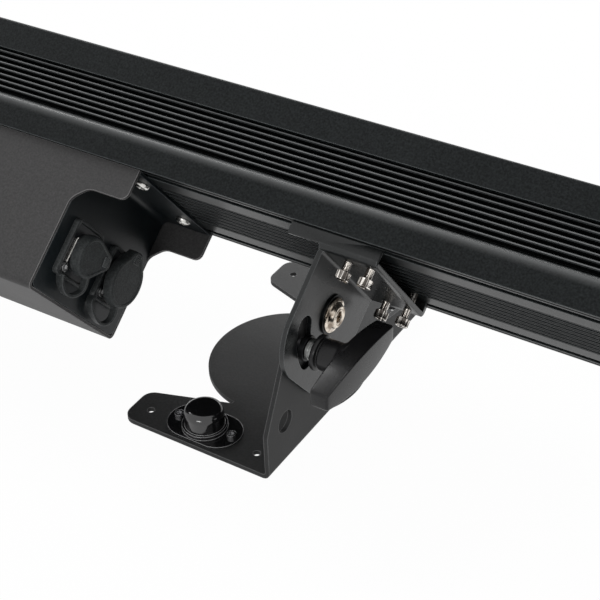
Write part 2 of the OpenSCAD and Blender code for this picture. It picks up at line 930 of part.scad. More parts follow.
module slot_shape() {
    a0 = slot_a0 + slot_extra;
    a1 = slot_a1 - slot_extra;
    n = 6;
    reach = 2 * slot_r;
    intersection() {
        difference() {
            circle(slot_r + slot_w);
            circle(slot_r - slot_w);
        }
        polygon(concat([[0, 0]], [for (i = [0 : n]) swung(a1 + (a0 - a1) * i / n, reach)]));
    }
    translate(swung(a0, slot_r)) circle(slot_w);
    translate(swung(a1, slot_r)) circle(slot_w);
}

module tongue_outline() {
    top = saddle_low + tongue_bend;
    polygon(rounded(
        [[-tongue_half, top], [-tongue_half, -tongue_low], [tongue_half, -tongue_low],
            [tongue_half, top]],
        [0, tongue_corner, tongue_corner, 0], 12));
}

module saddle(left) {
    roof = pivot_gap;
    wall_top = roof + hook_shelf + saddle_t;
    color("#2f3334") tilted() ended(left) translate([foot_x, 0, 0]) {
        difference() {
            // Tongue plate, bent down from the flange
            along_x(0, saddle_t) tongue_outline();
            rod_x(-over, saddle_t + over, bolt_r + run_gap);
            along_x(-over, saddle_t + over) slot_shape();
            translate([0, -tongue_half - over, saddle_low + saddle_t - tongue_bend])
                cube([saddle_t + over, 2 * tongue_half + 2 * over, 2 * tongue_bend]);
        }
        along_y(-tongue_half, tongue_half) intersection() {
            translate([tongue_bend, saddle_low + saddle_t - tongue_bend]) difference() {
                circle(tongue_bend);
                circle(tongue_bend - saddle_t);
            }
            translate([0, saddle_low + saddle_t - tongue_bend]) square(tongue_bend);
        }
        difference() {
            // Flange and the two walls, folded up
            along_x(wall_start, saddle_reach) difference() {
                translate([0, (saddle_low + wall_top + saddle_bend) / 2]) intersection() {
                    round_rect(2 * saddle_wall_y, wall_top - saddle_low + saddle_bend, saddle_bend);
                    translate([-saddle_wall_y, -(saddle_low + wall_top + saddle_bend) / 2])
                        square([2 * saddle_wall_y, wall_top]);
                }
                translate([-saddle_wall_y + saddle_t, saddle_low + saddle_t])
                    square([2 * (saddle_wall_y - saddle_t), wall_top]);
            }
            translate([-over, -tongue_half, saddle_low - over])
                cube([over + tongue_bend, 2 * tongue_half, saddle_t + 2 * over]);
            for (i = [0, 1])
                for (s = [-1, 1])
                    translate([jack_x + i * jack_step, s * jack_y, saddle_low - over])
                        cylinder(h = saddle_t + 2 * over, r = jack_r + bolt_fit);
        }
        // Hooks in the grooves, longer than the flange
        for (s = [-1, 1]) {
            y0 = s > 0 ? saddle_wall_y - saddle_t : -saddle_wall_y;
            translate([-hook_reach, y0, hook_low])
                cube([hook_reach + wall_start, saddle_t, wall_top - hook_low]);
            y1 = s > 0 ? saddle_wall_y - saddle_t : -saddle_wall_y - hook_lip;
            translate([-hook_reach, y1, roof + hook_shelf])
                cube([hook_reach + saddle_reach, saddle_t + hook_lip, saddle_t]);
        }
    }
}

module saddle_screws() {
    color("#c9c7c2") tilted() for (left = [false, true])
        ended(left) for (i = [0, 1])
            for (s = [-1, 1])
                translate([foot_x + jack_x + i * jack_step, s * jack_y, 0])
                    difference() {
                        union() {
                            translate([0, 0, saddle_low - jack_shank - jack_head_h])
                                cylinder(h = jack_head_h, r = jack_head_r);
                            translate([0, 0, saddle_low - jack_shank])
                                cylinder(h = pivot_gap - saddle_low + jack_shank, r = jack_r);
                        }
                        translate([0, 0, saddle_low - jack_shank - jack_head_h - over])
                            cylinder(h = socket_depth + over, r = jack_head_r * hex_share, $fn = 6);
                    }
}

// Foot: one bent plate with two arms, a lobe and an upright
module base_outline() {
    x0 = foot_face - foot_bend;
    mid = foot_depth / 2;
    polygon(rounded(
        [[x0, 0], [-foot_reach, 0], [-foot_reach, arm_w], [-lobe_in - arm_corner, arm_root],
            [-lobe_in, mid], [-lobe_in - arm_corner, foot_depth - arm_root],
            [-foot_reach, foot_depth - arm_w], [-foot_reach, foot_depth], [x0, foot_depth]],
        [0, arm_corner, arm_corner, 0, 0, 0, arm_corner, arm_corner, 0], 6));
    translate([-lobe_in, mid]) circle(lobe_r);
}

module upright_outline() {
    top = pivot_h + crown_r;
    back = pivot_set + crown_half;
    polygon(rounded(
        [[0, foot_bend], [0, front_rise], [crown_set, crown_z], [pivot_set - edge_r / 2, top],
            [back, top], [back, rail_z], [foot_depth, rail_end_z], [foot_depth, foot_bend]],
        [0, edge_r, edge_r, 2 * edge_r, crown_half, nick_r, edge_r, 0], 8));
}

stud_y = pivot_set - slot_r * sin(stud_angle);
stud_z = pivot_h - slot_r * cos(stud_angle);

module foot(left) {
    color("#3a3b3b") standing(left) difference() {
        union() {
            linear_extrude(foot_t) base_outline();
            along_y(0, foot_depth) intersection() {
                translate([foot_face - foot_bend, foot_bend]) difference() {
                    circle(foot_bend);
                    circle(foot_bend - foot_t);
                }
                translate([foot_face - foot_bend, 0]) square(foot_bend);
            }
            along_x(foot_face - foot_t, foot_face) upright_outline();
        }
        for (x = [-foot_reach + arm_hole_far, -arm_hole_near])
            for (y = [arm_hole_in, foot_depth - arm_hole_in])
                translate([x, y, -over]) cylinder(h = foot_t + 2 * over, r = arm_hole_d / 2);
        translate([-lock_x, lock_y, -over])
            cylinder(h = foot_t + 2 * over, r = lock_bore_r + seat_gap);
        for (s = [-1, 1])
            translate([-lock_x + s * lock_screw_x, lock_y, -over])
                cylinder(h = foot_t + 2 * over, r = lock_screw_r + bolt_fit);
        translate([0, pivot_set, pivot_h])
            rod_x(foot_face - foot_t - over, over, bolt_r + bolt_fit);
        translate([0, stud_y, stud_z])
            rod_x(foot_face - foot_t - over, over, stud_r + bolt_fit);
        translate([0, cable_hole_y, cable_hole_z])
            rod_x(foot_face - foot_t - over, over, cable_hole_d / 2);
    }
}

// Quick-lock receptacle: a stadium plate with a domed housing, open below
module receptacle(left) {
    color("#0c0c0d") standing(left) translate([-lock_x, lock_y, foot_t]) difference() {
        union() {
            linear_extrude(lock_plate_t) {
                square([lock_plate_len - lock_plate_w, lock_plate_w], center = true);
                for (s = [-1, 1])
                    translate([s * (lock_plate_len - lock_plate_w) / 2, 0])
                        circle(lock_plate_w / 2);
            }
            cylinder(h = lock_plate_t + dome_foot_h, r = dome_foot_r);
            rotate_extrude() intersection() {
                union() {
                    square([dome_r, dome_h - dome_round]);
                    square([dome_r - dome_round, dome_h]);
                    translate([dome_r - dome_round, dome_h - dome_round]) circle(dome_round);
                }
                square([dome_r, dome_h]);
            }
        }
        translate([0, 0, -over]) cylinder(h = lock_bore_h + over, r = lock_bore_r);
        for (s = [-1, 1])
            translate([s * lock_screw_x, 0, -over])
                cylinder(h = lock_plate_t + dome_foot_h + 2 * over, r = lock_screw_r + bolt_fit);
    }
}

module receptacle_screws(left) {
    color("#2c2c2e") standing(left) for (s = [-1, 1])
        translate([-lock_x + s * lock_screw_x, lock_y, 0]) difference() {
            union() {
                translate([0, 0, foot_t + lock_plate_t])
                    cylinder(h = lock_head_h, r = lock_head_r);
                translate([0, 0, slide_gap])
                    cylinder(h = foot_t + lock_plate_t, r = lock_screw_r);
            }
            translate([0, 0, foot_t + lock_plate_t + lock_head_h / 2])
                cylinder(h = lock_head_h, r = lock_head_r * hex_share, $fn = 6);
        }
}

// Pivot: a flanged bolt through washer, tongue and upright, with its nut
module at_pivot(left) {
    standing(left) translate([0, pivot_set, pivot_h]) children();
}

head_x = saddle_t + slide_gap + washer_t;
nut_x = foot_face - foot_t - nut_washer_t;

module pivot_bolt(left) {
    color("#b8ab97") at_pivot(left) difference() {
        union() {
            rod_x(nut_x - nut_h - bolt_spare, head_x, bolt_r);
            translate([head_x, 0, 0]) rotate([0, 90, 0]) rotate_extrude()
                polygon([[0, 0], [bolt_head_r, 0], [bolt_head_r, bolt_flange_h],
                    [bolt_crown_r, bolt_head_h], [0, bolt_head_h]]);
        }
        hex_x(head_x + bolt_head_h - socket_depth, head_x + bolt_head_h + over, bolt_hex);
    }
}

module pivot_washer(left) {
    color("#121515") at_pivot(left) difference() {
        rod_x(head_x - washer_t, head_x, washer_r);
        rod_x(0, head_x + over, bolt_r + run_gap);
    }
}

module pivot_nut(left) {
    color("#9a9c9d") at_pivot(left) {
        difference() {
            rod_x(nut_x, nut_x + nut_washer_t, nut_washer_r);
            rod_x(nut_x - over, nut_x + nut_washer_t + over, bolt_r + run_gap);
        }
        difference() {
            hex_x(nut_x - nut_h, nut_x, nut_r);
            rod_x(nut_x - nut_h - over, nut_x + over, bolt_r + run_gap);
        }
    }
}

// Lock: a carriage bolt through the slot, a steel washer and the T-handle
module at_stud(left) {
    standing(left) translate([0, stud_y, stud_z]) children();
}

bush_x = saddle_t + 2 * slide_gap + lock_washer_t;
collar_x = bush_x + bush_out;
grip_x = saddle_t + grip_reach;
bore_end = collar_x + handle_bore;

module lock_stud(left) {
    x0 = foot_face - foot_t;
    color("#8f9192") at_stud(left) {
        rod_x(x0, bore_end - over, stud_r);
        translate([x0, 0, 0]) rotate([0, -90, 0]) rotate_extrude()
            polygon([[0, 0], [stud_head_r, 0], [stud_head_r, stud_head_h / 3],
                [stud_r, stud_head_h], [0, stud_head_h]]);
    }
}

module lock_washer(left) {
    color("#9fa3a3") at_stud(left) difference() {
        rod_x(saddle_t + slide_gap, saddle_t + slide_gap + lock_washer_t, lock_washer_r);
        rod_x(0, bush_x + over, stud_r + run_gap);
    }
}

// The handle's steel bush: a bright boss on the washer, moulded into the collar
module lock_bush(left) {
    color("#c4c4c0") at_stud(left) difference() {
        union() {
            rod_x(bush_x, collar_x, bush_r);
            rod_x(bush_x, collar_x + bush_in, bush_in_r);
        }
        rod_x(bush_x - over, collar_x + bush_in + over, stud_r + run_gap);
    }
}

// A long bar with arced sides: half width w at the ends, that swells to each side
module swelled_bar(len_all, w, sag_up, sag_down) {
    up_r = (pow(len_all / 2, 2) + sag_up * sag_up) / (2 * sag_up);
    down_r = (pow(len_all / 2, 2) + sag_down * sag_down) / (2 * sag_down);
    intersection() {
        square([len_all, len_all], center = true);
        translate([0, w + sag_up - up_r]) circle(up_r, $fn = 180);
        translate([0, down_r - w - sag_down]) circle(down_r, $fn = 180);
    }
}

module lock_handle(left) {
    sag_h = (grip_h - grip_end_h) / 2;
    grip_t = grip_end_t + grip_sag_in + grip_sag_out;
    neck = grip_x + grip_sag_in - collar_x;
    color("#0f1011") at_stud(left) difference() {
        union() {
            // Collar with its groove, then the neck
            translate([collar_x, 0, 0]) rotate([0, 90, 0]) rotate_extrude()
                polygon([[0, 0], [collar_r - collar_lip, 0], [collar_r, collar_lip],
                    [collar_r, collar_t], [neck_r, collar_t], [neck_r, collar_t + collar_lip],
                    [neck_out_r, collar_t + 2 * collar_lip], [neck_out_r, neck], [0, neck]]);
            intersection() {
                along_x(grip_x, grip_x + grip_t)
                    swelled_bar(grip_len, grip_end_h / 2, sag_h, sag_h);
                translate([grip_x + grip_sag_in + grip_end_t / 2, 0, -grip_h])
                    linear_extrude(2 * grip_h) rotate(90)
                        swelled_bar(grip_len, grip_end_t / 2, grip_sag_in, grip_sag_out);
            }
        }
        rod_x(collar_x - over, collar_x + bush_in + run_gap, bush_in_r + run_gap);
        rod_x(collar_x - over, bore_end, stud_r + run_gap);
    }
}

housing();
end_cap(false);  // end_cap_right
end_cap(true);  // end_cap_left
end_cap_gaskets();
end_cap_screws();
window_gasket();
window_glass();
reflector();
led_board();
leds();
box_hood();
end_panel(false);  // end_panel_right
end_panel(true);  // end_panel_left
panel_screws();
dmx_socket(false, -1);  // dmx_in_socket
power_socket(false, 1);  // power_in_socket
dmx_socket(true, -1);  // dmx_out_socket
power_socket(true, 1);  // power_out_socket
socket_screws();
strap(false, -1, dmx_cap_r);  // dmx_in_strap
strap(false, 1, power_cap_r);  // power_in_strap
strap(true, -1, dmx_cap_r);  // dmx_out_strap
strap(true, 1, power_cap_r);  // power_out_strap
rubber_cap(false, -1, dmx_cap_r, dmx_tab_turn);  // dmx_in_cap
rubber_cap(false, 1, power_cap_r, power_tab_turn);  // power_in_cap
rubber_cap(true, -1, dmx_cap_r, dmx_tab_turn);  // dmx_out_cap
rubber_cap(true, 1, power_cap_r, power_tab_turn);  // power_out_cap
power_supply();
driver_board();
keypad_bezel();
display_window();
keypad_board();
vent_plug();
push_button(0);  // menu_button
push_button(1);  // down_button
push_button(2);  // up_button
push_button(3);  // enter_button
saddle(false);  // saddle_right
saddle(true);  // saddle_left
saddle_screws();
foot(false);  // foot_right
receptacle(false);  // receptacle_right
receptacle_screws(false);  // receptacle_screws_right
pivot_bolt(false);  // pivot_bolt_right
pivot_washer(false);  // pivot_washer_right
pivot_nut(false);  // pivot_nut_right
lock_stud(false);  // lock_stud_right
lock_washer(false);  // lock_washer_right
lock_bush(false);  // lock_bush_right
lock_handle(false);  // lock_handle_right
foot(true);  // foot_left
receptacle(true);  // receptacle_left
receptacle_screws(true);  // receptacle_screws_left
pivot_bolt(true);  // pivot_bolt_left
pivot_washer(true);  // pivot_washer_left
pivot_nut(true);  // pivot_nut_left
lock_stud(true);  // lock_stud_left
lock_washer(true);  // lock_washer_left
lock_bush(true);  // lock_bush_left
lock_handle(true);  // lock_handle_left
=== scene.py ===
import json
import math

import bmesh
import bpy
from mathutils import Matrix, Vector
from mathutils.geometry import convex_hull_2d


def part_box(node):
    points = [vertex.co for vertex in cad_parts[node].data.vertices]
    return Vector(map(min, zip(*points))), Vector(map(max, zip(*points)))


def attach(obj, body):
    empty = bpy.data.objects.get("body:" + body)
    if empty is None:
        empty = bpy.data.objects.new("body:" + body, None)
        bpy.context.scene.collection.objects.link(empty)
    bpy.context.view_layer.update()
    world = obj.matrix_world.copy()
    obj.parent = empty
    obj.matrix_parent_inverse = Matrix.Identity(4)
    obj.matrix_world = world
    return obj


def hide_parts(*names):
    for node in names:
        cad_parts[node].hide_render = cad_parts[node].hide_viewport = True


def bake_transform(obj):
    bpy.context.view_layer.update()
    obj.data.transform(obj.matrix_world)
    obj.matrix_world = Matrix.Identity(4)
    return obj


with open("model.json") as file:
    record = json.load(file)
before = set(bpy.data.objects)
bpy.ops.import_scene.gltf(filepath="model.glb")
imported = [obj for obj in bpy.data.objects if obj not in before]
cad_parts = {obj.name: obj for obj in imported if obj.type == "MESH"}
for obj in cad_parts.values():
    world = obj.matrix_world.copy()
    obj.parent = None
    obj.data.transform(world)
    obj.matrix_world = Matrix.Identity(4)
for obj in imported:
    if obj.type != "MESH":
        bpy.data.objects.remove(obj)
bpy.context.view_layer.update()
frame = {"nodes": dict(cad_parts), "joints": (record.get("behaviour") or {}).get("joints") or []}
nodes = frame["nodes"]

# The studio. A white sweep lies under and behind the bar. A long softbox and a strip
# behind it draw the highlight along its shoulder. A lamp at the upper right lights the
# foot, and a weak one in front fills the shadows.
view_from = Vector((0.6567, -0.5976, 0.5892))
view_along = Vector((-0.4385, 0.6715, -0.597))
view_roll = math.radians(-2.0)
lens_share = 1499 / 600
sweep_reach = 6.0
seen_share = 0.975
dome_strength = 0.45


class Wire:
    """A socket that takes part in sums, each of which adds a Math node."""

    def __init__(self, finish, socket):
        self.finish = finish
        self.socket = socket

    def sum(self, operation, first, second=0.0):
        settings = {"operation": operation}
        return self.finish.node("ShaderNodeMath", settings, {0: first, 1: second})

    def __add__(self, other):
        return self.sum("ADD", self, other)

    def __radd__(self, other):
        return self.sum("ADD", other, self)

    def __sub__(self, other):
        return self.sum("SUBTRACT", self, other)

    def __rsub__(self, other):
        return self.sum("SUBTRACT", other, self)

    def __mul__(self, other):
        return self.sum("MULTIPLY", self, other)

    def __truediv__(self, other):
        return self.sum("DIVIDE", self, other)

    def __gt__(self, other):
        return self.sum("GREATER_THAN", self, other)

    def __lt__(self, other):
        return self.sum("LESS_THAN", self, other)

    def wave(self):
        return self.sum("SINE", self)

    def size(self):
        return self.sum("ABSOLUTE", self)

    def held(self):
        return self.finish.node("ShaderNodeClamp", {}, {0: self})


class Finish:
    """A node material in the making, on one Principled shader."""

    def __init__(self, name, colour, roughness, **constants):
        self.material = bpy.data.materials.new(name)
        self.material.use_nodes = True
        self.tree = self.material.node_tree
        self.tree.nodes.clear()
        self.out = self.tree.nodes.new("ShaderNodeOutputMaterial")
        self.shader = self.tree.nodes.new("ShaderNodeBsdfPrincipled")
        self.tree.links.new(self.shader.outputs[0], self.out.inputs[0])
        self.set("Base Color", (*colour, 1.0))
        self.set("Roughness", roughness)
        for socket, value in constants.items():
            self.set(socket.replace("_", " "), value)

    def set(self, socket, value):
        """Sets or links one socket of the Principled shader."""
        if isinstance(value, Wire):
            self.tree.links.new(value.socket, self.shader.inputs[socket])
        else:
            self.shader.inputs[socket].default_value = value

    def node(self, kind, settings, values, output=0):
        """Adds any node: its settings first, then the values or links of its sockets."""
        made = self.tree.nodes.new(kind)
        for key, value in settings.items():
            setattr(made, key, value)
        for key, value in values.items():
            if isinstance(value, Wire):
                self.tree.links.new(value.socket, made.inputs[key])
            else:
                made.inputs[key].default_value = value
        return Wire(self, made.outputs[output])

    def place(self):
        """The point on the piece, in metres."""
        return self.node("ShaderNodeTexCoord", {}, {}, "Object")

    def turned(self, about, lean, stretch=(1.0, 1.0, 1.0)):
        """The point on the piece from a centre, along axes leant about X, and stretched."""
        values = {"Vector": self.place(), "Location": about, "Rotation": (lean, 0, 0)}
        values["Scale"] = (1, 1, 1)
        leant = self.node("ShaderNodeMapping", {"vector_type": "TEXTURE"}, values)
        return self.node("ShaderNodeVectorMath", {"operation": "MULTIPLY"}, {0: leant, 1: stretch})

    def along(self, point, axis):
        """One coordinate of a point."""
        return self.node("ShaderNodeSeparateXYZ", {}, {0: point}, axis)

    def noise(self, size, detail=2.0, rough=0.5, at=None):
        """Noise between 0 and 1 with features of about that size in metres."""
        values = {"Vector": at or self.place(), "Scale": 1 / size}
        values.update({"Detail": detail, "Roughness": rough})
        return self.node("ShaderNodeTexNoise", {}, values)

    def shades(self, factor, dark, light):
        """A colour between two, by a factor. Either may be a link."""
        ends = {6: dark, 7: light}
        for key, value in ends.items():
            if not isinstance(value, Wire):
                ends[key] = (*value, 1.0)
        return self.node("ShaderNodeMix", {"data_type": "RGBA"}, {0: factor, **ends}, 2)

    def edges(self, radius):
        """1 along the sharp edges of the piece, 0 on its flats."""
        soft = self.node("ShaderNodeBevel", {"samples": 6}, {"Radius": radius})
        flat = self.node("ShaderNodeNewGeometry", {}, {}, "Normal")
        dot = {"operation": "DOT_PRODUCT"}
        alike = self.node("ShaderNodeVectorMath", dot, {0: soft, 1: flat}, "Value")
        return ((0.97 - alike) * 3).held()

    def relief(self, height, depth, edge=0.0):
        """Bumps of that depth in metres, over edges rounded to a radius."""
        values = {"Height": height, "Distance": depth}
        if edge:
            values["Normal"] = self.node("ShaderNodeBevel", {"samples": 6}, {"Radius": edge})
        self.set("Normal", self.node("ShaderNodeBump", {}, values))

    def cover(self, tone, dark, light, roughness, height, depth, edge=0.0):
        """Its colour between two by a tone, its roughness and its bumps."""
        self.set("Base Color", self.shades(tone, dark, light))
        self.set("Roughness", roughness)
        self.relief(height, depth, edge)

    def colour(self):
        """What colours it so far."""
        return Wire(self, self.shader.inputs["Base Color"].links[0].from_socket)

    def round_edges(self, radius):
        """Lets the radius that its edges are rounded to vary from place to place."""
        bump = self.shader.inputs["Normal"].links[0].from_node
        bevel = bump.inputs["Normal"].links[0].from_node
        self.tree.links.new(radius.socket, bevel.inputs["Radius"])

    def give_way(self, share, kind, values):
        """Lets a share of the shader give way to one of another kind."""
        other = self.node(kind, {}, values)
        ends = {0: share, 1: Wire(self, self.shader.outputs[0]), 2: other}
        mixed = self.node("ShaderNodeMixShader", {}, ends)
        self.tree.links.new(mixed.socket, self.out.inputs[0])


def wear(piece, finish):
    """Gives a piece that one material."""
    piece.data.materials.clear()
    piece.data.materials.append(finish.material)


def clad(finish, *names):
    """Gives the frame's pieces of those names one material."""
    for name in names:
        wear(nodes[name], finish)


def added(name, data):
    """An object of that name and data, linked to the scene."""
    made = bpy.data.objects.new(name, data)
    bpy.context.collection.objects.link(made)
    return made


def stage_sweep():
    """The floor, a sheet of white paper that is white to the camera and in reflections."""
    mesh = bpy.data.meshes.new("floor")
    quarters = ((-1, -1), (1, -1), (1, 1), (-1, 1))
    corners = [(sweep_reach * a, sweep_reach * b, 0) for a, b in quarters]
    mesh.from_pydata(corners, [], [(0, 1, 2, 3)])
    floor = added("floor", mesh)
    paper = Finish("floor_paper", (0.86, 0.86, 0.86), 0.9)
    path = paper.tree.nodes.new("ShaderNodeLightPath")
    seen = Wire(paper, path.outputs["Is Camera Ray"]) + Wire(paper, path.outputs["Is Glossy Ray"])
    seen = (seen + Wire(paper, path.outputs["Is Transmission Ray"])).held()
    glow = {"Color": (1, 1, 1, 1), "Strength": 1.0}
    paper.give_way(seen * seen_share, "ShaderNodeEmission", glow)
    wear(floor, paper)


def world_light():
    """An even grey dome that shows as white where it is seen and in reflections."""
    world = bpy.data.worlds.new("studio")
    bpy.context.scene.world = world
    world.use_nodes = True
    tree = world.node_tree
    path = tree.nodes.new("ShaderNodeLightPath")
    level = tree.nodes.new("ShaderNodeMapRange")
    level.inputs["To Min"].default_value = dome_strength
    level.inputs["To Max"].default_value = 1.0
    seen = path.outputs["Is Camera Ray"]
    for ray in ("Is Glossy Ray", "Is Transmission Ray"):
        either = tree.nodes.new("ShaderNodeMath")
        either.operation = "MAXIMUM"
        tree.links.new(seen, either.inputs[0])
        tree.links.new(path.outputs[ray], either.inputs[1])
        seen = either.outputs[0]
    tree.links.new(seen, level.inputs["Value"])
    back = tree.nodes["Background"]
    tree.links.new(level.outputs["Result"], back.inputs["Strength"])
    back.inputs["Color"].default_value = (1, 1, 1, 1)


def lamp(name, place, target, width, height, power):
    """A soft rectangular lamp that points at a target."""
    data = bpy.data.lights.new(name, "AREA")
    data.shape = "RECTANGLE"
    data.size = width
    data.size_y = height
    data.energy = power
    light = added(name, data)
    light.location = place
    light.rotation_euler = (Vector(target) - Vector(place)).to_track_quat("-Z", "Y").to_euler()


stage_sweep()
world_light()
lamp("back_softbox", (-0.95, 1.75, 1.0), (0.0, 0.0, 0.1), 2.2, 0.6, 15)
lamp("top_strip", (-0.80, 1.0, 1.8), (0.1, 0.0, 0.12), 2.4, 0.25, 20)
lamp("key_lamp", (1.25, 0.75, 1.25), (0.3, 0.0, 0.08), 0.5, 0.5, 9)
lamp("front_fill", (0.4, -1.8, 0.9), (0.1, 0.0, 0.1), 0.7, 0.35, 7)

camera_data = bpy.data.cameras.new("camera")
camera_data.lens = camera_data.sensor_width * lens_share
camera = added("camera", camera_data)
camera.location = view_from
aim = view_along.to_track_quat("-Z", "Y").to_matrix()
camera.rotation_euler = (aim @ Matrix.Rotation(view_roll, 3, "Z")).to_euler()
bpy.context.scene.camera = camera
bpy.context.scene.view_settings.view_transform = "Standard"

# The housing: one aluminium extrusion with finned sides, a round shoulder and hook
# grooves under it, cut to length, blasted and powder coated in satin black. Painted
# shade darkens the finned band, the ribbed underside and a line by each lip, and a
# painted highlight lies along the shoulder and on the tip of each fin.
mm = 0.001
lean = math.radians(52)
pivot = tuple(next(joint["pos_m"] for joint in frame["joints"] if joint["name"] == "tilt_right"))
on_bar = Matrix.Translation((0, pivot[1], pivot[2])) @ Matrix.Rotation(-lean, 4, "X")
pivot_gap = 32.6

# Places on its section, in millimetres across from its middle or up from its underside.
underside_rise = 1.7
rib_half = 27
rib_step = 2 * rib_half / 7
lip_middle = 52.2
lip_half = 1.6
shoulder_middle = 17.2
shoulder_half = 4.4
shoulder_from = 48
fins_from = 50
fins_middle = 33.7
fins_half = 13.3
fin_start = 22.8
fin_step = 3.6
fin_tip = (0.6, 1.32)
edge_round = 0.0006


def powder_coat(name, colour, light, roughness, shine, peel=0.0011, depth=0.00004, rim=0.35):
    """Sprayed and baked powder: a fine orange peel, its sharp edges painted paler, partly as thin
    powder and partly as a painted highlight.
    """
    coat = Finish(name, colour, roughness, Specular_IOR_Level=shine)
    cloud = coat.noise(0.05, 3.0)
    grain = coat.noise(0.0012, 1.0)
    fleck = (coat.noise(0.0021, 1.0) - 0.70) * 9
    tone = (cloud * 0.4 + (grain - 0.5) * 1.9 + fleck.held() * 0.4 + 0.18).held()
    # Painted highlight: the sharp edges are painted paler, where the powder is also thinner.
    edge_highlight = (coat.edges(0.0011) * rim).held()
    pale = tuple(0.09 + 5 * part for part in light)
    sprayed = coat.shades(tone, colour, light)
    rough = roughness - 0.10 + cloud * 0.10 + grain * 0.12
    height = coat.noise(peel, 2.0) + coat.noise(peel * 6, 1.0) * 1.5
    coat.cover(edge_highlight, sprayed, pale, rough, height, depth, edge_round)
    return coat


def housing_powder():
    """The powder on the extrusion, with painted shade and painted highlights placed by how far a
    point is across and up its section.
    """
    coat = powder_coat("housing_coat", (0.0022, 0.0032, 0.0035), (0.0170, 0.0200, 0.0208),
                       roughness=0.36, shine=0.14, rim=1.1)
    point = coat.turned(pivot, -lean)
    across = (coat.along(point, "Y") / mm).size()
    up = coat.along(point, "Z") / mm - pivot_gap
    underside = up < underside_rise
    # Painted shade: a dark diffuse shader mixed in, in stripes over the ribbed field, along a line
    # by each lip, and over the finned band except the tip of each fin.
    ribs = (((across * (math.tau / rib_step) - math.pi / 2).wave() - 0.45) * 3).held()
    rib_painted_shade = (across < rib_half) * underside * (ribs * 0.45 + 0.4)
    lip = (lip_half - (across - lip_middle).size()).held() * underside
    phase = up.sum("FLOORED_MODULO", up - fin_start, fin_step)
    fins = (up - fins_middle).size() < fins_half
    tip_highlight = fins * (phase > fin_tip[0]) * (phase < fin_tip[1]) * (across > fins_from)
    painted_shade = (rib_painted_shade + lip * 0.9 + (fins - tip_highlight) * 0.62).held()
    coat.give_way(painted_shade, "ShaderNodeBsdfDiffuse", {"Color": (0.0015, 0.0018, 0.002, 1.0)})
    # Painted highlights: the colour is painted paler in a band along the shoulder and in a thin line
    # on the tip of each fin.
    shoulder = (1 - (up - shoulder_middle).size() / shoulder_half).held() * (across > shoulder_from)
    coat.set("Coat Weight", shoulder * 0.7)
    coat.set("Coat Roughness", 0.33)
    painted_highlight = coat.shades(shoulder * shoulder * 0.7, coat.colour(), (0.110, 0.114, 0.116))
    coat.set("Base Color", coat.shades(tip_highlight, painted_highlight, (0.170, 0.176, 0.178)))
    coat.round_edges(shoulder * 0.002 + edge_round)
    return coat


clad(housing_powder(), "housing")

# The end caps: two cast plates that close the extrusion, each on a black rubber gasket,
# held by six socket head screws in the screw channels.
cap_coat = powder_coat("end_cap_coat", (0.010, 0.011, 0.012), (0.018, 0.020, 0.021),
                       roughness=0.5, shine=0.35, peel=0.0016, depth=0.00009)
clad(cap_coat, "end_cap_right", "end_cap_left")


def sealing_rubber(name, colour, light, roughness=0.62, stipple=0.0007, depth=0.00008):
    """Moulded rubber: a stippled skin, cloudy with talc that stays in its hollows, and its edges
    painted paler as a highlight.
    """
    skin = Finish(name, colour, roughness, Specular_IOR_Level=0.3)
    talc = skin.noise(0.006, 3.0, 0.6)
    dots = skin.noise(stipple, 1.0)
    smear = skin.noise(0.0016, 2.0)
    tone = ((talc - 0.3) * 0.8 + (dots - 0.4) * 0.9 + (smear - 0.5) * 0.8).held()
    # Painted highlight: the edges are painted paler.
    painted_highlight = skin.edges(0.0008) * 0.9
    pale = tuple(0.06 + 2.4 * part for part in light)
    rough = roughness - 0.1 + talc * 0.2
    height = dots + smear * 0.8
    skin.cover(painted_highlight, skin.shades(tone, colour, light), pale, rough, height, depth, 0.0004)
    return skin


gasket_rubber = sealing_rubber("gasket_rubber", (0.010, 0.010, 0.010), (0.024, 0.024, 0.023))
clad(gasket_rubber, "end_cap_gaskets", "window_gasket")


def turned_steel(name, colour, dull, roughness, ring=0.00022):
    """Plated or plain steel with fine tool marks, dulled by handling in its hollows."""
    metal = Finish(name, colour, roughness, Metallic=1.0)
    marks = metal.noise(ring, 2.0)
    smudge = metal.noise(0.0022, 3.0)
    tone = ((smudge - 0.35) * 1.6).held()
    rough = roughness - 0.06 + smudge * 0.16 + marks * 0.04
    metal.cover(tone, colour, dull, rough, marks, 0.000012, 0.0002)
    return metal


black_steel = turned_steel("black_oxide_steel", (0.060, 0.060, 0.062), (0.030, 0.030, 0.031), 0.38)
clad(black_steel, "end_cap_screws")

# The light window: toughened glass with a black printed border, laid on its gasket in
# the housing's rebate, over a plated reflector, a white board and rows of yellow chips.
window_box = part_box("window_glass")
window_centre = tuple((window_box[0][i] + window_box[1][i]) / 2 for i in range(3))
window_half = (window_box[1][0] - window_box[0][0]) / 2
window_half_depth = 0.0512
printed_border = 0.0075


def printed_glass():
    """Clear glass, with a black border fired on its rim."""
    glass = Finish("toughened_glass", (0.96, 0.985, 0.98), 0.02, Transmission_Weight=1.0, IOR=1.45)
    glass.set("Roughness", 0.015 + glass.noise(0.012, 4.0) * 0.05)
    point = glass.turned(window_centre, -lean)
    side = glass.along(point, "Y").size() > (window_half_depth - printed_border)
    end = glass.along(point, "X").size() > (window_half - printed_border)
    enamel = {"Base Color": (0.006, 0.006, 0.007, 1.0), "Roughness": 0.18}
    glass.give_way((side + end).held(), "ShaderNodeBsdfPrincipled", enamel)
    return glass


clad(printed_glass(), "window_glass")

plating = Finish("vacuum_plating", (0.86, 0.87, 0.88), 0.12, Metallic=1.0)
ripple = plating.noise(0.004, 2.0)
plating.cover(ripple, (0.80, 0.81, 0.83), (0.90, 0.91, 0.92), 0.08 + ripple * 0.14,
              ripple, 0.00005, 0.0004)
clad(plating, "reflector")

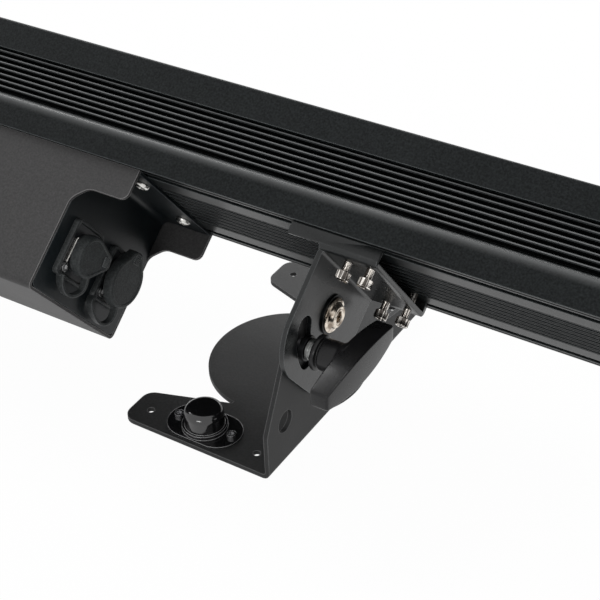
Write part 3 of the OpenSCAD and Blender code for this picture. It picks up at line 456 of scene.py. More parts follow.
lacquer = Finish("board_lacquer", (0.80, 0.80, 0.77), 0.45)
spots = (lacquer.noise(0.0011, 1.0) > 0.66) * 0.6
lacquer.cover(spots, (0.82, 0.82, 0.79), (0.62, 0.60, 0.52),
              0.40 + lacquer.noise(0.01, 2.0) * 0.15, lacquer.noise(0.0008, 1.0), 0.00002)
clad(lacquer, "led_board")


def set_out_tree():
    """Copies a master to each point, each spun by chance about its own axis."""
    tree = bpy.data.node_groups.new("set_out", "GeometryNodeTree")
    inputs = [("Points", "Geometry"), ("Master", "Object"), ("Finish", "Material")]
    inputs += [("Spin", "Float"), ("Seed", "Int")]
    for name, kind in inputs:
        tree.interface.new_socket(name=name, in_out="INPUT", socket_type="NodeSocket" + kind)
    tree.interface.new_socket(name="Set out", in_out="OUTPUT", socket_type="NodeSocketGeometry")
    link = tree.links.new
    start = tree.nodes.new("NodeGroupInput")
    end = tree.nodes.new("NodeGroupOutput")
    master = tree.nodes.new("GeometryNodeObjectInfo")
    spin = tree.nodes.new("FunctionNodeRandomValue")
    spin.data_type = "FLOAT"
    axis = tree.nodes.new("ShaderNodeCombineXYZ")
    copies = tree.nodes.new("GeometryNodeInstanceOnPoints")
    solid = tree.nodes.new("GeometryNodeRealizeInstances")
    dress = tree.nodes.new("GeometryNodeSetMaterial")
    link(start.outputs["Master"], master.inputs["Object"])
    link(start.outputs["Spin"], spin.inputs[3])
    link(start.outputs["Seed"], spin.inputs["Seed"])
    link(spin.outputs[1], axis.inputs["Z"])
    link(start.outputs["Points"], copies.inputs["Points"])
    link(master.outputs["Geometry"], copies.inputs["Instance"])
    link(axis.outputs["Vector"], copies.inputs["Rotation"])
    link(copies.outputs["Instances"], solid.inputs["Geometry"])
    link(solid.outputs["Geometry"], dress.inputs["Geometry"])
    link(start.outputs["Finish"], dress.inputs["Material"])
    link(dress.outputs["Geometry"], end.inputs["Set out"])
    return tree


copies_tree = set_out_tree()
sharp_angle = math.radians(38)
weld = 0.0000005


def evaluated(piece):
    """A plain mesh of a piece as its modifiers leave it."""
    graph = bpy.context.evaluated_depsgraph_get()
    return bpy.data.meshes.new_from_object(piece.evaluated_get(graph))


def shown(name, mesh, body, replaced=(), finish=None):
    """Makes a mesh a piece that rides on a body, in place of the nodes it replaces."""
    if not mesh.has_custom_normals:
        mesh.shade_smooth()
        mesh.set_sharp_from_angle(angle=sharp_angle)
    piece = added(name, mesh)
    if finish:
        wear(piece, finish)
    if body:
        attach(piece, body)
    if replaced:
        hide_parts(*replaced)
    return piece


def shell_mesh(name, shell, place):
    """A mesh in metres of a shell in millimetres, welded, with its faces outwards."""
    shell.transform(place @ Matrix.Scale(mm, 4))
    bmesh.ops.remove_doubles(shell, verts=shell.verts, dist=weld)
    bmesh.ops.recalc_face_normals(shell, faces=shell.faces)
    mesh = bpy.data.meshes.new(name)
    shell.to_mesh(mesh)
    shell.free()
    return mesh


def set_out(name, shell, places, finish, place, spin=0.0, seed=1):
    """A mesh in metres of copies of a shell, both in millimetres before their place."""
    form = shell_mesh(name, shell, Matrix.Scale(1 / mm, 4))
    master = bpy.data.objects.new(name + "_master", form)
    mesh = bpy.data.meshes.new(name + "_points")
    mesh.from_pydata(places, [], [])
    points = added(name + "_points", mesh)
    maker = points.modifiers.new("set_out", "NODES")
    maker.node_group = copies_tree
    given = {"Master": master, "Finish": finish.material, "Spin": spin, "Seed": seed}
    for item in copies_tree.interface.items_tree:
        if item.in_out == "INPUT" and item.name in given:
            maker[item.identifier] = given[item.name]
    made = evaluated(points)
    points.modifiers.clear()
    bpy.data.objects.remove(points)
    bpy.data.objects.remove(master)
    made.transform(place @ Matrix.Scale(mm, 4))
    made.name = name
    return made


def joined(shell, loops):
    """Faces between loops of vertices, and over both ends if the loops don't close."""
    for low, high in zip(loops, loops[1:]):
        for i in range(len(low)):
            j = (i + 1) % len(low)
            shell.faces.new((low[i], low[j], high[j], high[i]))
    if loops[0] is not loops[-1]:
        shell.faces.new(list(reversed(loops[0])))
        shell.faces.new(loops[-1])


def turned_shell(rings, count=48, shell=None):
    """A shell turned about Z: each ring is a radius, or a radius by angle, and a height."""
    shell = shell or bmesh.new()
    hollow = rings[0] == rings[-1]
    rows = []
    for radius, height in rings[1:] if hollow else rings:
        row = []
        for i in range(count):
            angle = math.tau * i / count
            reach = radius(angle) if callable(radius) else radius
            row.append(shell.verts.new((reach * math.cos(angle), reach * math.sin(angle), height)))
        rows.append(row)
    joined(shell, rows + rows[:1] if hollow else rows)
    return shell


def boxed(shell, centre, size):
    """Adds a plain block to a shell."""
    place = Matrix.Translation(centre) @ Matrix.Diagonal((*size, 1.0))
    bmesh.ops.create_cube(shell, size=1.0, matrix=place)


cell_count = 20
chip_columns = (-4.5, 4.5)
chip_rows = (-17, 0, 17)
chip_size = 4.8
chip_thick = 0.6
chip_height = 81.2
cell_pitch = 2 * window_half / mm / cell_count


def chip_places():
    """Two by three chips in each cell of the reflector."""
    start = -window_half / mm
    cells = [start + (i + 0.5) * cell_pitch for i in range(cell_count)]
    return [(x + a, b, chip_height) for x in cells for a in chip_columns for b in chip_rows]


chip_body = bmesh.new()
boxed(chip_body, (0, 0, chip_thick / 2), (chip_size, chip_size, chip_thick))
chip_lens = turned_shell([(2.0, 0.5), (2.0, 0.68), (1.7, 0.86), (0.9, 0.97)], 24)
ceramic = Finish("chip_ceramic", (0.86, 0.86, 0.83), 0.5)
grit = ceramic.noise(0.0005, 2.0)
ceramic.cover(grit, (0.80, 0.80, 0.77), (0.90, 0.90, 0.88), 0.5, grit, 0.00001)
phosphor = Finish("chip_phosphor", (0.85, 0.66, 0.10), 0.3, Coat_Weight=0.6)
mottle = phosphor.noise(0.0007, 2.0)
phosphor.cover(mottle, (0.82, 0.56, 0.05), (0.92, 0.78, 0.22), 0.3, mottle, 0.00001)
bodies_mesh = set_out("chip_bodies", chip_body, chip_places(), ceramic, on_bar)
shown("chip_bodies", bodies_mesh, "bar", ["leds"])
lenses_mesh = set_out("chip_lenses", chip_lens, chip_places(), phosphor, on_bar)
shown("chip_lenses", lenses_mesh, "bar")

# The connector box: a hood of 2 mm sheet steel, folded to a trough with ears at its
# ends, and sprayed in a paler, rougher black than the bar.
hood_coat = powder_coat("hood_coat", (0.031, 0.0305, 0.031), (0.057, 0.0555, 0.056),
                        roughness=0.56, shine=0.36, peel=0.0009, depth=0.00006, rim=1.2)
clad(hood_coat, "box_hood")

# The end panels: angled steel sheets that carry the sockets, powder coated in a bluish
# black. Their flanges are held under the bar by two bright pan head screws each.
panel_coat = powder_coat("panel_coat", (0.0052, 0.0075, 0.0088), (0.0110, 0.0145, 0.0168),
                         roughness=0.34, shine=0.22, peel=0.0013, depth=0.00003, rim=0.7)
clad(panel_coat, "end_panel_right", "end_panel_left")

panel_screw_x = 170.0
panel_screw_y = 29.3
panel_screw_z = 30.6
pan_shank = 2.0
pan_profile = [(4.85, 0), (5.0, -0.35), (4.85, -1.0), (4.4, -1.7), (3.6, -2.3), (2.75, -2.6)]
bright_zinc = turned_steel("bright_zinc", (0.80, 0.79, 0.76), (0.42, 0.40, 0.38), 0.24)


def cross_arm(reach, half):
    """A cross recess's outline: the radius by angle of a plus with that reach and half width."""
    quarter = math.pi / 2

    def radius(angle):
        off = (angle + quarter / 2) % quarter - quarter / 2
        side = half / max(abs(math.sin(off)), 1e-6)
        return min(reach / math.cos(off), side)

    return radius


def pan_head():
    """A pan head that points down, with its cross recess and shank."""
    recess = [(cross_arm(2.2, 0.7), -2.62), (cross_arm(1.9, 0.55), -1.3), (0.05, -1.1)]
    return turned_shell([(pan_shank, 2.0), (pan_shank, 0.0)] + pan_profile + recess, 64)


pan_places = [(end * panel_screw_x, row * panel_screw_y, panel_screw_z)
              for end in (1, -1) for row in (1, -1)]
pans = set_out("panel_screw_heads", pan_head(), pan_places, bright_zinc, on_bar, math.tau, 4)
shown("panel_screw_heads", pans, "bar", ["panel_screws"])

# The sockets: black moulded shells let into the panels, data in front and power behind,
# each with two small screws. The data sockets have a bright spring latch at one side.
socket_x = 144.4
socket_y = 23.0
socket_z = -20.0
latch_leaf = ((3.5, -11.4, -1.5), (2.2, 1.1, 15.0))
latch_lip = ((4.4, -10.6, 6.4), (1.0, 2.6, 1.4))
ends = ((1, "right"), (-1, "left"))


def moulded_plastic(name, colour, light, roughness):
    """Injection moulded plastic with a fine spark texture and the odd light scuff."""
    skin = Finish(name, colour, roughness, Specular_IOR_Level=0.42)
    spark = skin.noise(0.0009, 2.0)
    scuff = skin.noise(0.009, 4.0, 0.7)
    tone = (spark * 0.4 + (scuff - 0.5) * 1.2).held()
    rough = roughness - 0.05 + scuff * 0.12
    skin.cover(tone, colour, light, rough, spark, 0.00003, 0.0004)
    return skin


socket_plastic = moulded_plastic("socket_shell", (0.014, 0.015, 0.017), (0.034, 0.037, 0.040), 0.4)
small_screw_steel = turned_steel("small_screw_steel", (0.62, 0.62, 0.62), (0.30, 0.30, 0.30), 0.3)
clad(socket_plastic, "dmx_in_socket", "power_in_socket", "dmx_out_socket", "power_out_socket")
clad(small_screw_steel, "socket_screws")


def socket_place(end, row):
    """The middle of a socket on its panel: X outwards, Y to the back, Z to the light."""
    turn = Matrix.Diagonal((end, 1, 1, 1))
    spot = Matrix.Translation((socket_x * mm, row * socket_y * mm, socket_z * mm))
    return on_bar @ turn @ spot


def latch_shell():
    """A spring latch: a bright leaf beside the socket's mouth, with a lip at its end."""
    shell = bmesh.new()
    boxed(shell, *latch_leaf)
    boxed(shell, *latch_lip)
    bmesh.ops.bevel(shell, geom=shell.edges, offset=0.25, segments=2, affect="EDGES")
    return shell


for end, side in ends:
    name = "data_latch_" + side
    latch = shell_mesh(name, latch_shell(), socket_place(end, -1))
    shown(name, latch, "bar", finish=bright_zinc)

# The caps: soft black rubber, a stippled disc with a pull tab and a plug in the socket.
# A strap moulded on the cap loops down and back to a rubber seal round the socket.
cap_rubber = sealing_rubber("cap_rubber", (0.017, 0.0195, 0.020), (0.075, 0.082, 0.083),
                            roughness=0.60, stipple=0.0008, depth=0.00012)
strap_rubber = sealing_rubber("strap_rubber", (0.020, 0.0225, 0.023), (0.070, 0.075, 0.076),
                              roughness=0.48, stipple=0.0008, depth=0.00006)
cap_back = 5.3
cap_front = 12.3
cap_edge = 1.4
cap_points = 96
cap_foot = 0.5
rim_steps = 5
border = (2.2, 2.6)
border_rise = 0.45
tab_tip = 20.4
tab_half = 4.7
tab_round = 2.2
ridge_count = 5
ridge_step = 1.15
ridge_first = 17.4
ridge_size = (0.7, 0.5, 6.6)
ridge_taper = 0.4
plug_rings = [(8.6, -2.6), (9.4, -1.9), (9.5, 5.6)]


def circle(radius):
    """Points round a circle."""
    ring = [math.tau * i / cap_points for i in range(cap_points)]
    return [Vector((radius * math.cos(a), radius * math.sin(a))) for a in ring]


def cap_outline(radius, turn):
    """A disc with a tab drawn out of it, as evenly spaced points in Y and Z."""
    spots = circle(radius)
    turned = Matrix.Rotation(math.radians(turn), 2)
    for side in (-1, 1):
        centre = Vector((tab_tip - tab_round, side * (tab_half - tab_round)))
        spots += [turned @ (centre + spot) for spot in circle(tab_round)]
    hull = [spots[i] for i in convex_hull_2d(spots)]
    lengths = [(hull[(i + 1) % len(hull)] - hull[i]).length for i in range(len(hull))]
    step = sum(lengths) / cap_points
    outline = []
    run = 0.0
    for i, length in enumerate(lengths):
        while len(outline) < cap_points and len(outline) * step < run + length:
            share = (len(outline) * step - run) / length
            outline.append(hull[i].lerp(hull[(i + 1) % len(hull)], share))
        run += length
    return outline


def inset(outline, amount):
    """The outline drawn in by an amount, along its normals."""
    drawn = []
    count = len(outline)
    for i, spot in enumerate(outline):
        along = (outline[(i + 1) % count] - outline[i - 1]).normalized()
        drawn.append(spot + Vector((-along.y, along.x)) * amount)
    return drawn


def slab_rows(shell, rows):
    """Joins outlines at their heights, from the bottom up, and closes both ends."""
    loops = []
    for outline, height in rows:
        loops.append([shell.verts.new((height, spot.x, spot.y)) for spot in outline])
    joined(shell, loops)


def cap_shell(radius, turn):
    """The disc with rounded rims, a sunk face and grip ridges on its tab, and its plug."""
    outline = cap_outline(radius, turn)
    rows = [(inset(outline, cap_foot), cap_back), (outline, cap_back + cap_foot)]
    for i in range(rim_steps):
        angle = math.pi / 2 * i / (rim_steps - 1)
        drawn = inset(outline, cap_edge * (1 - math.cos(angle)))
        rows.append((drawn, cap_front - cap_edge * (1 - math.sin(angle))))
    rows.append((inset(outline, border[0]), cap_front))
    rows.append((inset(outline, border[1]), cap_front - border_rise))
    shell = turned_shell(plug_rings)
    shell.transform(Matrix.Rotation(math.pi / 2, 4, "Y"))
    slab_rows(shell, rows)
    tab = Matrix.Rotation(math.radians(turn), 4, "X")
    high, wide, long = ridge_size
    for i in range(ridge_count):
        place = tab @ Matrix.Translation((cap_front - 0.2, ridge_first - ridge_step * i, 0))
        taper = ridge_taper * abs(i - ridge_count // 2)
        size = Matrix.Diagonal((high, wide, long - taper, 1.0))
        bmesh.ops.create_cube(shell, size=1.0, matrix=place @ size)
    return shell


def smooth_path(stops, steps=7):
    """Points on a smooth curve through the stops."""
    stops = [Vector(stop) for stop in stops]
    knots = [2 * stops[0] - stops[1]] + stops + [2 * stops[-1] - stops[-2]]
    path = []
    for a, b, c, d in zip(knots, knots[1:], knots[2:], knots[3:]):
        for i in range(steps):
            t = i / steps
            bend = 2 * a - 5 * b + 4 * c - d
            path.append(b + 0.5 * (t * (c - a) + t * t * bend + t ** 3 * (3 * b - a - 3 * c + d)))
    path.append(stops[-1])
    return path


def ribbon(shell, path, width, thick):
    """A flat band with rounded edges along a path, its width kept towards X."""
    outline = [(-0.5, -0.2), (-0.5, 0.2), (-0.42, 0.5), (0.42, 0.5)]
    outline += [(0.5, 0.2), (0.5, -0.2), (0.42, -0.5), (-0.42, -0.5)]
    rings = []
    for i, spot in enumerate(path):
        along = (path[min(i + 1, len(path) - 1)] - path[max(i - 1, 0)]).normalized()
        wide = (Vector((1, 0, 0)) - along * along.x).normalized()
        deep = along.cross(wide)
        share = i / (len(path) - 1)
        flare = width * (1.15 - 0.3 * math.sin(math.pi * share))
        ring = [spot + wide * (u * flare) + deep * (v * thick) for u, v in outline]
        rings.append([shell.verts.new(vertex) for vertex in ring])
    joined(shell, rings)


def round_frame(width, height, corner, steps=8):
    """Points round a rectangle with round corners, each corner in the same steps."""
    spots = []
    middles = [(1, 1), (-1, 1), (-1, -1), (1, -1)]
    for quarter, (sy, sz) in enumerate(middles):
        for i in range(steps + 1):
            angle = math.pi / 2 * (quarter + i / steps)
            middle = Vector((sy * (width / 2 - corner), sz * (height / 2 - corner)))
            spots.append(middle + Vector((math.cos(angle), math.sin(angle))) * corner)
    return spots


seal_outside = (32, 35.5, 3.2)
seal_inside = (26.3, 31.3, 2.2)
seal_rows = [
    (0.0, 0.0), (0.0, 2.6), (0.12, 3.1), (0.3, 3.2), (0.7, 3.2), (0.88, 3.0), (1.0, 2.4), (1.0, 0.0)]
strap_width = 5.2
strap_thick = 1.9


def seal_shell(shell):
    """The rubber seal round a socket's flange, with rounded edges."""
    outer = round_frame(*seal_outside)
    inner = round_frame(*seal_inside)
    loops = []
    for share, height in seal_rows:
        spots = [a.lerp(b, share) for a, b in zip(outer, inner)]
        loops.append([shell.verts.new((height, spot.x, spot.y)) for spot in spots])
    joined(shell, loops + loops[:1])


data_loop = [
    (8.8, 5.6, -10.6), (8.7, 8.0, -15.2), (7.9, 8.8, -20.0), (6.6, 4.6, -24.6),
    (5.0, -1.2, -25.2), (3.4, -6.6, -21.8), (2.2, -8.9, -17.0)]
power_loop = [
    (8.8, 1.6, -14.6), (8.6, 4.6, -20.4), (7.8, 4.8, -25.6), (6.6, 1.0, -29.2),
    (5.4, -5.0, -29.0), (4.2, -11.6, -25.8), (3.0, -16.0, -21.2), (2.0, -14.4, -16.4)]
cap_kinds = {
    "dmx": {"row": -1, "radius": 13.0, "turn": 10, "loop": data_loop},
    "power": {"row": 1, "radius": 16.5, "turn": 93, "loop": power_loop},
}


def close_socket(kind, end, way):
    """Puts the cap and the seal with its strap on one socket."""
    form = cap_kinds[kind]
    place = socket_place(end, form["row"])
    cap_name = f"{kind}_{way}_cap"
    strap_name = f"{kind}_{way}_strap"
    cap = shell_mesh(cap_name + "_rubber", cap_shell(form["radius"], form["turn"]), place)
    shown(cap_name + "_rubber", cap, cap_name, [cap_name], cap_rubber)
    shell = bmesh.new()
    seal_shell(shell)
    ribbon(shell, smooth_path(form["loop"]), strap_width, strap_thick)
    mesh = shell_mesh(strap_name + "_rubber", shell, place)
    strap = shown(strap_name + "_rubber", mesh, None, [strap_name], strap_rubber)
    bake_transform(strap)


for end, way in ((1, "in"), (-1, "out")):
    for kind in cap_kinds:
        close_socket(kind, end, way)

# The keypad on the back of the connector box: a moulded bezel with a smoked window over
# the display, four rubber buttons in it, and the printed board behind them.
bezel_plastic = moulded_plastic("bezel_plastic", (0.012, 0.012, 0.013), (0.026, 0.026, 0.028), 0.42)
clad(bezel_plastic, "keypad_bezel")

smoked = Finish("display_smoke", (0.02, 0.025, 0.03), 0.06, Coat_Weight=1.0, Coat_Roughness=0.03)
finger_marks = smoked.noise(0.006, 4.0, 0.65)
smoked.cover(finger_marks, (0.010, 0.013, 0.016), (0.020, 0.026, 0.031),
             finger_marks * 0.16 + 0.04, finger_marks, 0.000004, 0.0003)
clad(smoked, "display_window")

button_rubber = sealing_rubber("button_rubber", (0.030, 0.030, 0.032), (0.060, 0.060, 0.063),
                               roughness=0.5, stipple=0.0006)
clad(button_rubber, "menu_button", "down_button", "up_button", "enter_button")

# The electronics: a power supply in a plain zinc plated case, and a green driver board
# on four pillars. They fill the box, and show only with its hood off.
solder_mask = Finish("board_green", (0.02, 0.16, 0.06), 0.35, Coat_Weight=0.4)
tracks = (solder_mask.noise(0.0016, 1.0) > 0.56) * 0.7
solder_mask.cover(tracks, (0.010, 0.10, 0.035), (0.045, 0.22, 0.09), tracks * 0.15 + 0.3,
                  tracks, 0.00004)
clad(solder_mask, "driver_board", "keypad_board")

zinc = Finish("zinc_plate", (0.60, 0.60, 0.62), 0.4, Metallic=1.0)
spangle = zinc.noise(0.0008, 2.0)
dull_cloud = zinc.noise(0.014, 4.0, 0.6)
zinc.cover((dull_cloud * 1.4 - 0.3).held(), (0.36, 0.36, 0.38), (0.60, 0.60, 0.62),
           0.3 + dull_cloud * 0.2, spangle, 0.00002, 0.0003)
clad(zinc, "power_supply")

# The vent plug: a moulded black hexagon with a membrane inside, screwed into the back of
# the box, so that the air in it can breathe.
vent_plastic = moulded_plastic("vent_plastic", (0.022, 0.023, 0.024), (0.042, 0.044, 0.045), 0.5)
clad(vent_plastic, "vent_plug")

# The saddles: 3 mm sheet steel, folded to a channel that hooks into the housing's
# grooves, with the tongue that turns on the foot. Powder coated in a fine black.
saddle_coat = powder_coat("saddle_coat", (0.006, 0.0072, 0.0076), (0.014, 0.0158, 0.0165),
                          roughness=0.29, shine=0.42, peel=0.0012, depth=0.00005, rim=1.2)
slot_reach = 29.5
slot_half = 7.2
slot_turns = (12.3, 55.7)
slot_steps = 16
tongue_x = (299.0, 304.0)


def slot_cutter(end):
    """The arc slot's shape, a little thicker than the tongue that it is cut in."""
    spots = []
    low, high = slot_turns
    for side, start, stop in ((slot_half, low, high), (-slot_half, high, low)):
        reach = slot_reach + side
        for i in range(slot_steps + 1):
            angle = math.radians(start + (stop - start) * i / slot_steps)
            spots.append((-reach * math.sin(angle), -reach * math.cos(angle)))
        tip = math.radians(stop)
        tip_y = -slot_reach * math.sin(tip)
        tip_z = -slot_reach * math.cos(tip)
        for i in range(1, slot_steps):
            angle = tip + math.pi * i / slot_steps
            spots.append((tip_y - side * math.sin(angle), tip_z - side * math.cos(angle)))
    cutter = bmesh.new()
    face = cutter.faces.new([cutter.verts.new((end * tongue_x[0], y, z)) for y, z in spots])
    made = bmesh.ops.extrude_face_region(cutter, geom=[face])
    grown = [item for item in made["geom"] if isinstance(item, bmesh.types.BMVert)]
    deep = end * (tongue_x[1] - tongue_x[0])
    bmesh.ops.translate(cutter, verts=grown, vec=(deep, 0, 0))
    return shell_mesh("slot_cutter", cutter, on_bar)


def slotted(node, end):
    """The saddle's sheet, its slot opened to its full width for the sleeve in it."""
    merged = bmesh.new()
    merged.from_mesh(node.data)
    merged.transform(node.matrix_world)
    bmesh.ops.remove_doubles(merged, verts=merged.verts, dist=weld)
    mesh = bpy.data.meshes.new("saddle_blank")
    merged.to_mesh(mesh)
    merged.free()
    blank = added("saddle_blank", mesh)
    cutter = added("slot_cutter", slot_cutter(end))
    cut = blank.modifiers.new("slot", "BOOLEAN")
    cut.operation = "DIFFERENCE"
    cut.solver = "EXACT"
    cut.object = cutter
    made = evaluated(blank)
    made.shade_smooth()
    made.set_sharp_from_angle(angle=sharp_angle)
    blank.modifiers.clear()
    blank.data = made
    even = blank.modifiers.new("even", "WEIGHTED_NORMAL")
    even.keep_sharp = True
    even.weight = 100
    flat = evaluated(blank)
    bpy.data.objects.remove(blank)
    bpy.data.objects.remove(cutter)
    return flat


for end, side in ends:
    part = "saddle_" + side
    sheet = slotted(nodes[part], end)
    shown("slotted_" + part, sheet, "bar", [part], saddle_coat)

# The jack screws: knurled socket cap screws of nickel plated steel, with painted
# reflections in dark and light streaks along their axes. Four in each saddle press on
# the underside of the bar.
jack_places = [(x, y, 0) for x in (316.2, 330.2, -316.2, -330.2) for y in (34.7, -34.7)]
jack_head_low = 13.0
jack_head_top = 18.0
jack_end = 32.6
jack_pitch = 0.8
jack_thread = (18.1, 24.5)
thread_steps = 6


def hexagon(half):
    """A hexagon's outline: the radius by angle for its half width across flats."""
    sixth = math.pi / 3
    return lambda angle: half / math.cos(angle % sixth - sixth / 2)


def knurl(reach, depth, teeth):
    """A knurled rim's outline: sharp ridges of that number and depth."""
    return lambda angle: reach - depth * abs(math.sin(angle * teeth / 2))


def thread(reach, depth, pitch, height):
    """A screw thread's outline at one height."""

    def radius(angle):
        turn = (angle / math.tau - height / pitch) % 1.0
        return reach - depth * abs(2 * turn - 1)

    return radius


def jack_shell():
    """A knurled cap screw with its head down: the socket, the head, then the thread."""
    head_rings = [
        (hexagon(1.9), 2.6), (hexagon(2.0), 0.15), (hexagon(2.15), 0.0), (3.3, 0.0),
        (3.8, 0.12), (4.05, 0.45), (knurl(4.1, 0.03, 44), 0.6), (knurl(4.1, 0.2, 44), 0.8),
        (knurl(4.1, 0.2, 44), 4.6), (knurl(4.1, 0.03, 44), 4.8), (3.95, 5.0), (2.6, 5.0)]
    shell = turned_shell([(r, jack_head_low + h) for r, h in head_rings], 176)
    rows = round((jack_thread[1] - jack_thread[0]) / jack_pitch * thread_steps)
    heights = [jack_thread[0] + i * jack_pitch / thread_steps for i in range(rows + 1)]
    rings = [(2.2, jack_head_top - 0.05)]
    rings += [(thread(2.5, 0.42, jack_pitch, height), height) for height in heights]
    rings += [(2.45, heights[-1] + 0.1), (2.45, jack_end)]
    return turned_shell(rings, 48, shell)


nickel = Finish("bright_nickel", (0.92, 0.88, 0.83), 0.2, Metallic=1.0)
screw_point = nickel.turned(pivot, -lean, (1.0, 1.0, 0.06))
streak = nickel.noise(0.0011, 1.0, 0.4, screw_point)
cloud = nickel.noise(0.002, 2.0)
# Painted reflections: dark and light streaks along the screws' axes.
painted_streaks = ((streak - 0.47) * 9 + (cloud - 0.5) * 0.8).held()
nickel.cover(painted_streaks, (0.10, 0.088, 0.078), (0.92, 0.88, 0.83), cloud * 0.16 + 0.12,
             nickel.noise(0.0003, 2.0), 0.00001, 0.0002)
jacks = set_out("jack_screws", jack_shell(), jack_places, nickel, on_bar, math.tau, 9)
shown("jack_screws", jacks, "bar", ["saddle_screws"])

# The feet: 3 mm steel plate, cut and bent up once, and powder coated in a black between
# the bar's and the hood's. Their cut edges are painted a little paler, as a highlight.
foot_coat = powder_coat("foot_coat", (0.015, 0.0153, 0.0156), (0.029, 0.0293, 0.0297),
                        roughness=0.54, shine=0.24, peel=0.0012, depth=0.00005, rim=1.2)
clad(foot_coat, "foot_right", "foot_left")

# The quarter-turn receptacles: glossy black mouldings on the feet's front arms, each
# held by two small screws plated in a dark chrome.
gloss_black = Finish("gloss_moulding", (0.006, 0.006, 0.0065), 0.14, Specular_IOR_Level=0.85)
haze = gloss_black.noise(0.007, 4.0, 0.6)
gloss = gloss_black.shades(haze, (0.004, 0.004, 0.0045), (0.010, 0.010, 0.0105))
# Painted highlight: the edges are painted pale grey.
gloss_black.cover(gloss_black.edges(0.0009), gloss, (0.50, 0.50, 0.51), haze * 0.12 + 0.04,
                  haze, 0.00012, 0.0008)
clad(gloss_black, "receptacle_right", "receptacle_left")
dark_chrome = turned_steel("dark_chrome", (0.55, 0.55, 0.56), (0.12, 0.12, 0.125), 0.2)
clad(dark_chrome, "receptacle_screws_right", "receptacle_screws_left")

# The pivots: a flanged socket head bolt of warm nickel, with painted reflections in soft
# dark brown and light patches, on a blackened washer, through the tongue and the upright,
# with a plated washer and nut behind the upright.
upright_x = 0.3
pivot_spot = (upright_x, pivot[1], pivot[2])
bolt_face = 4.3
bolt_rings = [
    (5.0, -12.9), (5.0, 0.0), (10.1, 0.0), (10.5, 0.15), (10.5, 0.75), (10.3, 1.0), (9.9, 1.12),
    (8.5, 1.5), (8.35, 1.42), (8.2, 1.6), (7.4, 1.9), (7.1, 2.3), (6.9, 3.3), (6.65, 3.75),
    (6.2, 4.0), (5.3, 4.0), (5.1, 3.86), (4.7, 3.84), (4.5, 4.0), (hexagon(3.35), 4.0),
    (hexagon(3.15), 3.75), (hexagon(3.12), 1.5), (0.4, 1.1)]
warm_nickel = Finish("warm_nickel", (0.80, 0.72, 0.62), 0.2, Metallic=1.0)
patch = warm_nickel.noise(0.0042, 1.0, 0.4)
fine = warm_nickel.noise(0.0006, 2.0)
# Painted reflections: soft dark brown and light patches.
painted_reflection = ((patch - 0.38) * 4 + (fine - 0.5) * 0.5).held()
warm_nickel.cover(painted_reflection, (0.26, 0.21, 0.165), (0.80, 0.72, 0.62), fine * 0.12 + 0.14,
                  fine, 0.000012, 0.0002)
washer_black = turned_steel("washer_black", (0.020, 0.021, 0.022), (0.010, 0.0105, 0.011), 0.36)


def standing(end, spot, out):
    """A place on the foot's upright: Z turned outwards from the bar, at a distance out."""
    place = Matrix.Translation((end * (spot[0] + out * mm), spot[1], spot[2]))
    return place @ Matrix.Rotation(end * math.pi / 2, 4, "Y")


for end, side in ends:
    name = "pivot_screw_" + side
    place = standing(end, pivot_spot, bolt_face)
    bolt = shell_mesh(name, turned_shell(bolt_rings, 96), place)
    shown(name, bolt, "foot_" + side, ["pivot_bolt_" + side], warm_nickel)
    clad(washer_black, "pivot_washer_" + side)
    clad(zinc, "pivot_nut_" + side)

# The locks: a stud with a round head behind the upright passes the arc slot. On it sit
# a black sleeve in the slot, a bright turned bush and a moulded T-handle with a collar.
bright_turned = turned_steel(
    "bright_turned", (0.46, 0.47, 0.46), (0.24, 0.245, 0.24), 0.26, ring=0.0003)
handle_plastic = Finish("handle_plastic", (0.012, 0.012, 0.0125), 0.3, Specular_IOR_Level=0.26)
grease = handle_plastic.noise(0.010, 4.0, 0.6)
moulded = handle_plastic.noise(0.0006, 2.0)
handle_tone = (grease * 0.7 + moulded * 0.3).held()
handle_skin = handle_plastic.shades(handle_tone, (0.007, 0.007, 0.0075), (0.018, 0.018, 0.019))
# Painted highlight: the edges are painted pale.
handle_edge_highlight = handle_plastic.edges(0.0011) * 0.7
handle_plastic.cover(handle_edge_highlight, handle_skin, (0.12, 0.12, 0.12), grease * 0.16 + 0.20,
                     moulded, 0.000012, 0.0006)
bush_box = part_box("lock_bush_right")
lock_spot = (upright_x, *((bush_box[0][i] + bush_box[1][i]) / 2 for i in (1, 2)))
collar_rings = [
    (7.4, 12.05), (10.0, 12.05), (10.4, 12.2), (10.6, 12.6), (10.6, 14.3), (10.45, 14.75),
    (10.0, 15.0), (9.0, 15.0), (8.5, 15.2), (8.4, 15.7), (8.6, 16.2), (9.3, 16.7), (9.4, 17.2),
    (9.4, 25.5), (9.7, 26.6), (10.4, 27.6), (10.4, 30.0)]
sleeve_rings = [
    (4.1, 3.15), (7.3, 3.15), (7.5, 3.4), (7.5, 6.2), (7.2, 6.5), (4.1, 6.5), (4.1, 3.15)]
bush_rings = [
    (4.1, 6.6), (5.9, 6.6), (6.3, 6.9), (6.3, 8.6), (6.1, 8.8), (6.1, 9.2), (6.3, 9.4),
    (6.3, 12.0), (4.1, 12.0), (4.1, 6.6)]
grip_half = 36.0
grip_face = (28.6, 39.6)
grip_sag = (0.8, 1.6)
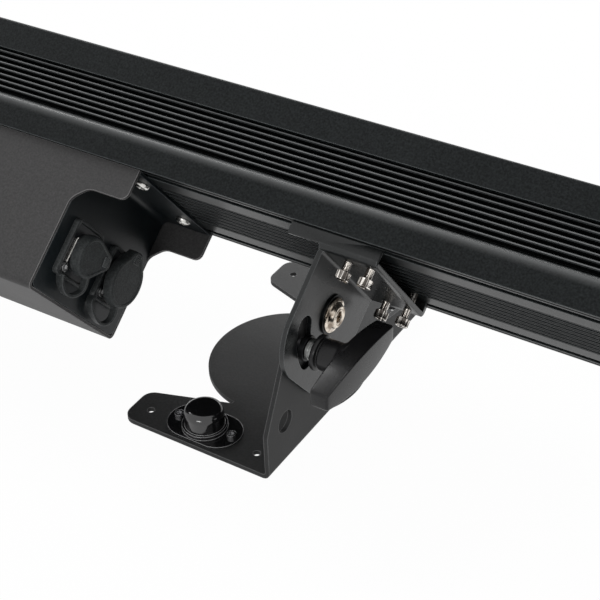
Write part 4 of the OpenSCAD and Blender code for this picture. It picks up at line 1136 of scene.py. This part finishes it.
grip_half_high = (5.0, 10.0)
grip_round = 1.3
grip_rows = 30
grip_end_rows = 5


def grip_shell(shell):
    """The cross bar: swelled in its middle, every edge rounded."""
    tip = []
    for i in range(grip_end_rows + 1):
        angle = math.pi / 2 * i / grip_end_rows
        along = grip_half - grip_round * (1 - math.cos(angle))
        tip.append((along, grip_round * (1 - math.sin(angle))))
    near = grip_half - grip_round
    middle = [(-near + 2 * near * i / grip_rows, 0.0) for i in range(1, grip_rows)]
    stations = [(-along, drawn) for along, drawn in tip] + middle + list(reversed(tip))
    rings = []
    for along, drawn in stations:
        swell = 1 - (along / grip_half) ** 2
        low = grip_face[0] - grip_sag[0] * swell + drawn
        high = grip_face[1] + grip_sag[1] * swell - drawn
        half = grip_half_high[0] + (grip_half_high[1] - grip_half_high[0]) * swell - drawn
        corner = max(0.3, grip_round - 0.6 * drawn)
        ring = []
        for spot in round_frame(high - low, 2 * half, corner):
            ring.append(shell.verts.new(((low + high) / 2 + spot.x, along, spot.y)))
        rings.append(ring)
    joined(shell, rings)


def handle_shell():
    """Collar and neck turned about the stud, and the grip across them."""
    shell = turned_shell(collar_rings, 72)
    bmesh.ops.rotate(shell, verts=shell.verts, matrix=Matrix.Rotation(math.pi / 2, 3, "Y"))
    grip_shell(shell)
    return shell


for end, side in ends:
    spot = Matrix.Translation((end * lock_spot[0], lock_spot[1], lock_spot[2]))
    place = spot @ Matrix.Diagonal((end, 1, 1, 1))
    around = standing(end, lock_spot, 0.0)
    part = "lock_handle_" + side
    handle = shell_mesh("t_handle_" + side, handle_shell(), place)
    shown("t_handle_" + side, handle, part, [part], handle_plastic)
    sleeve = shell_mesh("slot_sleeve_" + side, turned_shell(sleeve_rings, 72), around)
    shown("slot_sleeve_" + side, sleeve, "foot_" + side,
          ["lock_washer_" + side], washer_black)
    bush = shell_mesh("bright_bush_" + side, turned_shell(bush_rings, 72), around)
    shown("bright_bush_" + side, bush, part, ["lock_bush_" + side], bright_turned)
    clad(zinc, "lock_stud_" + side)
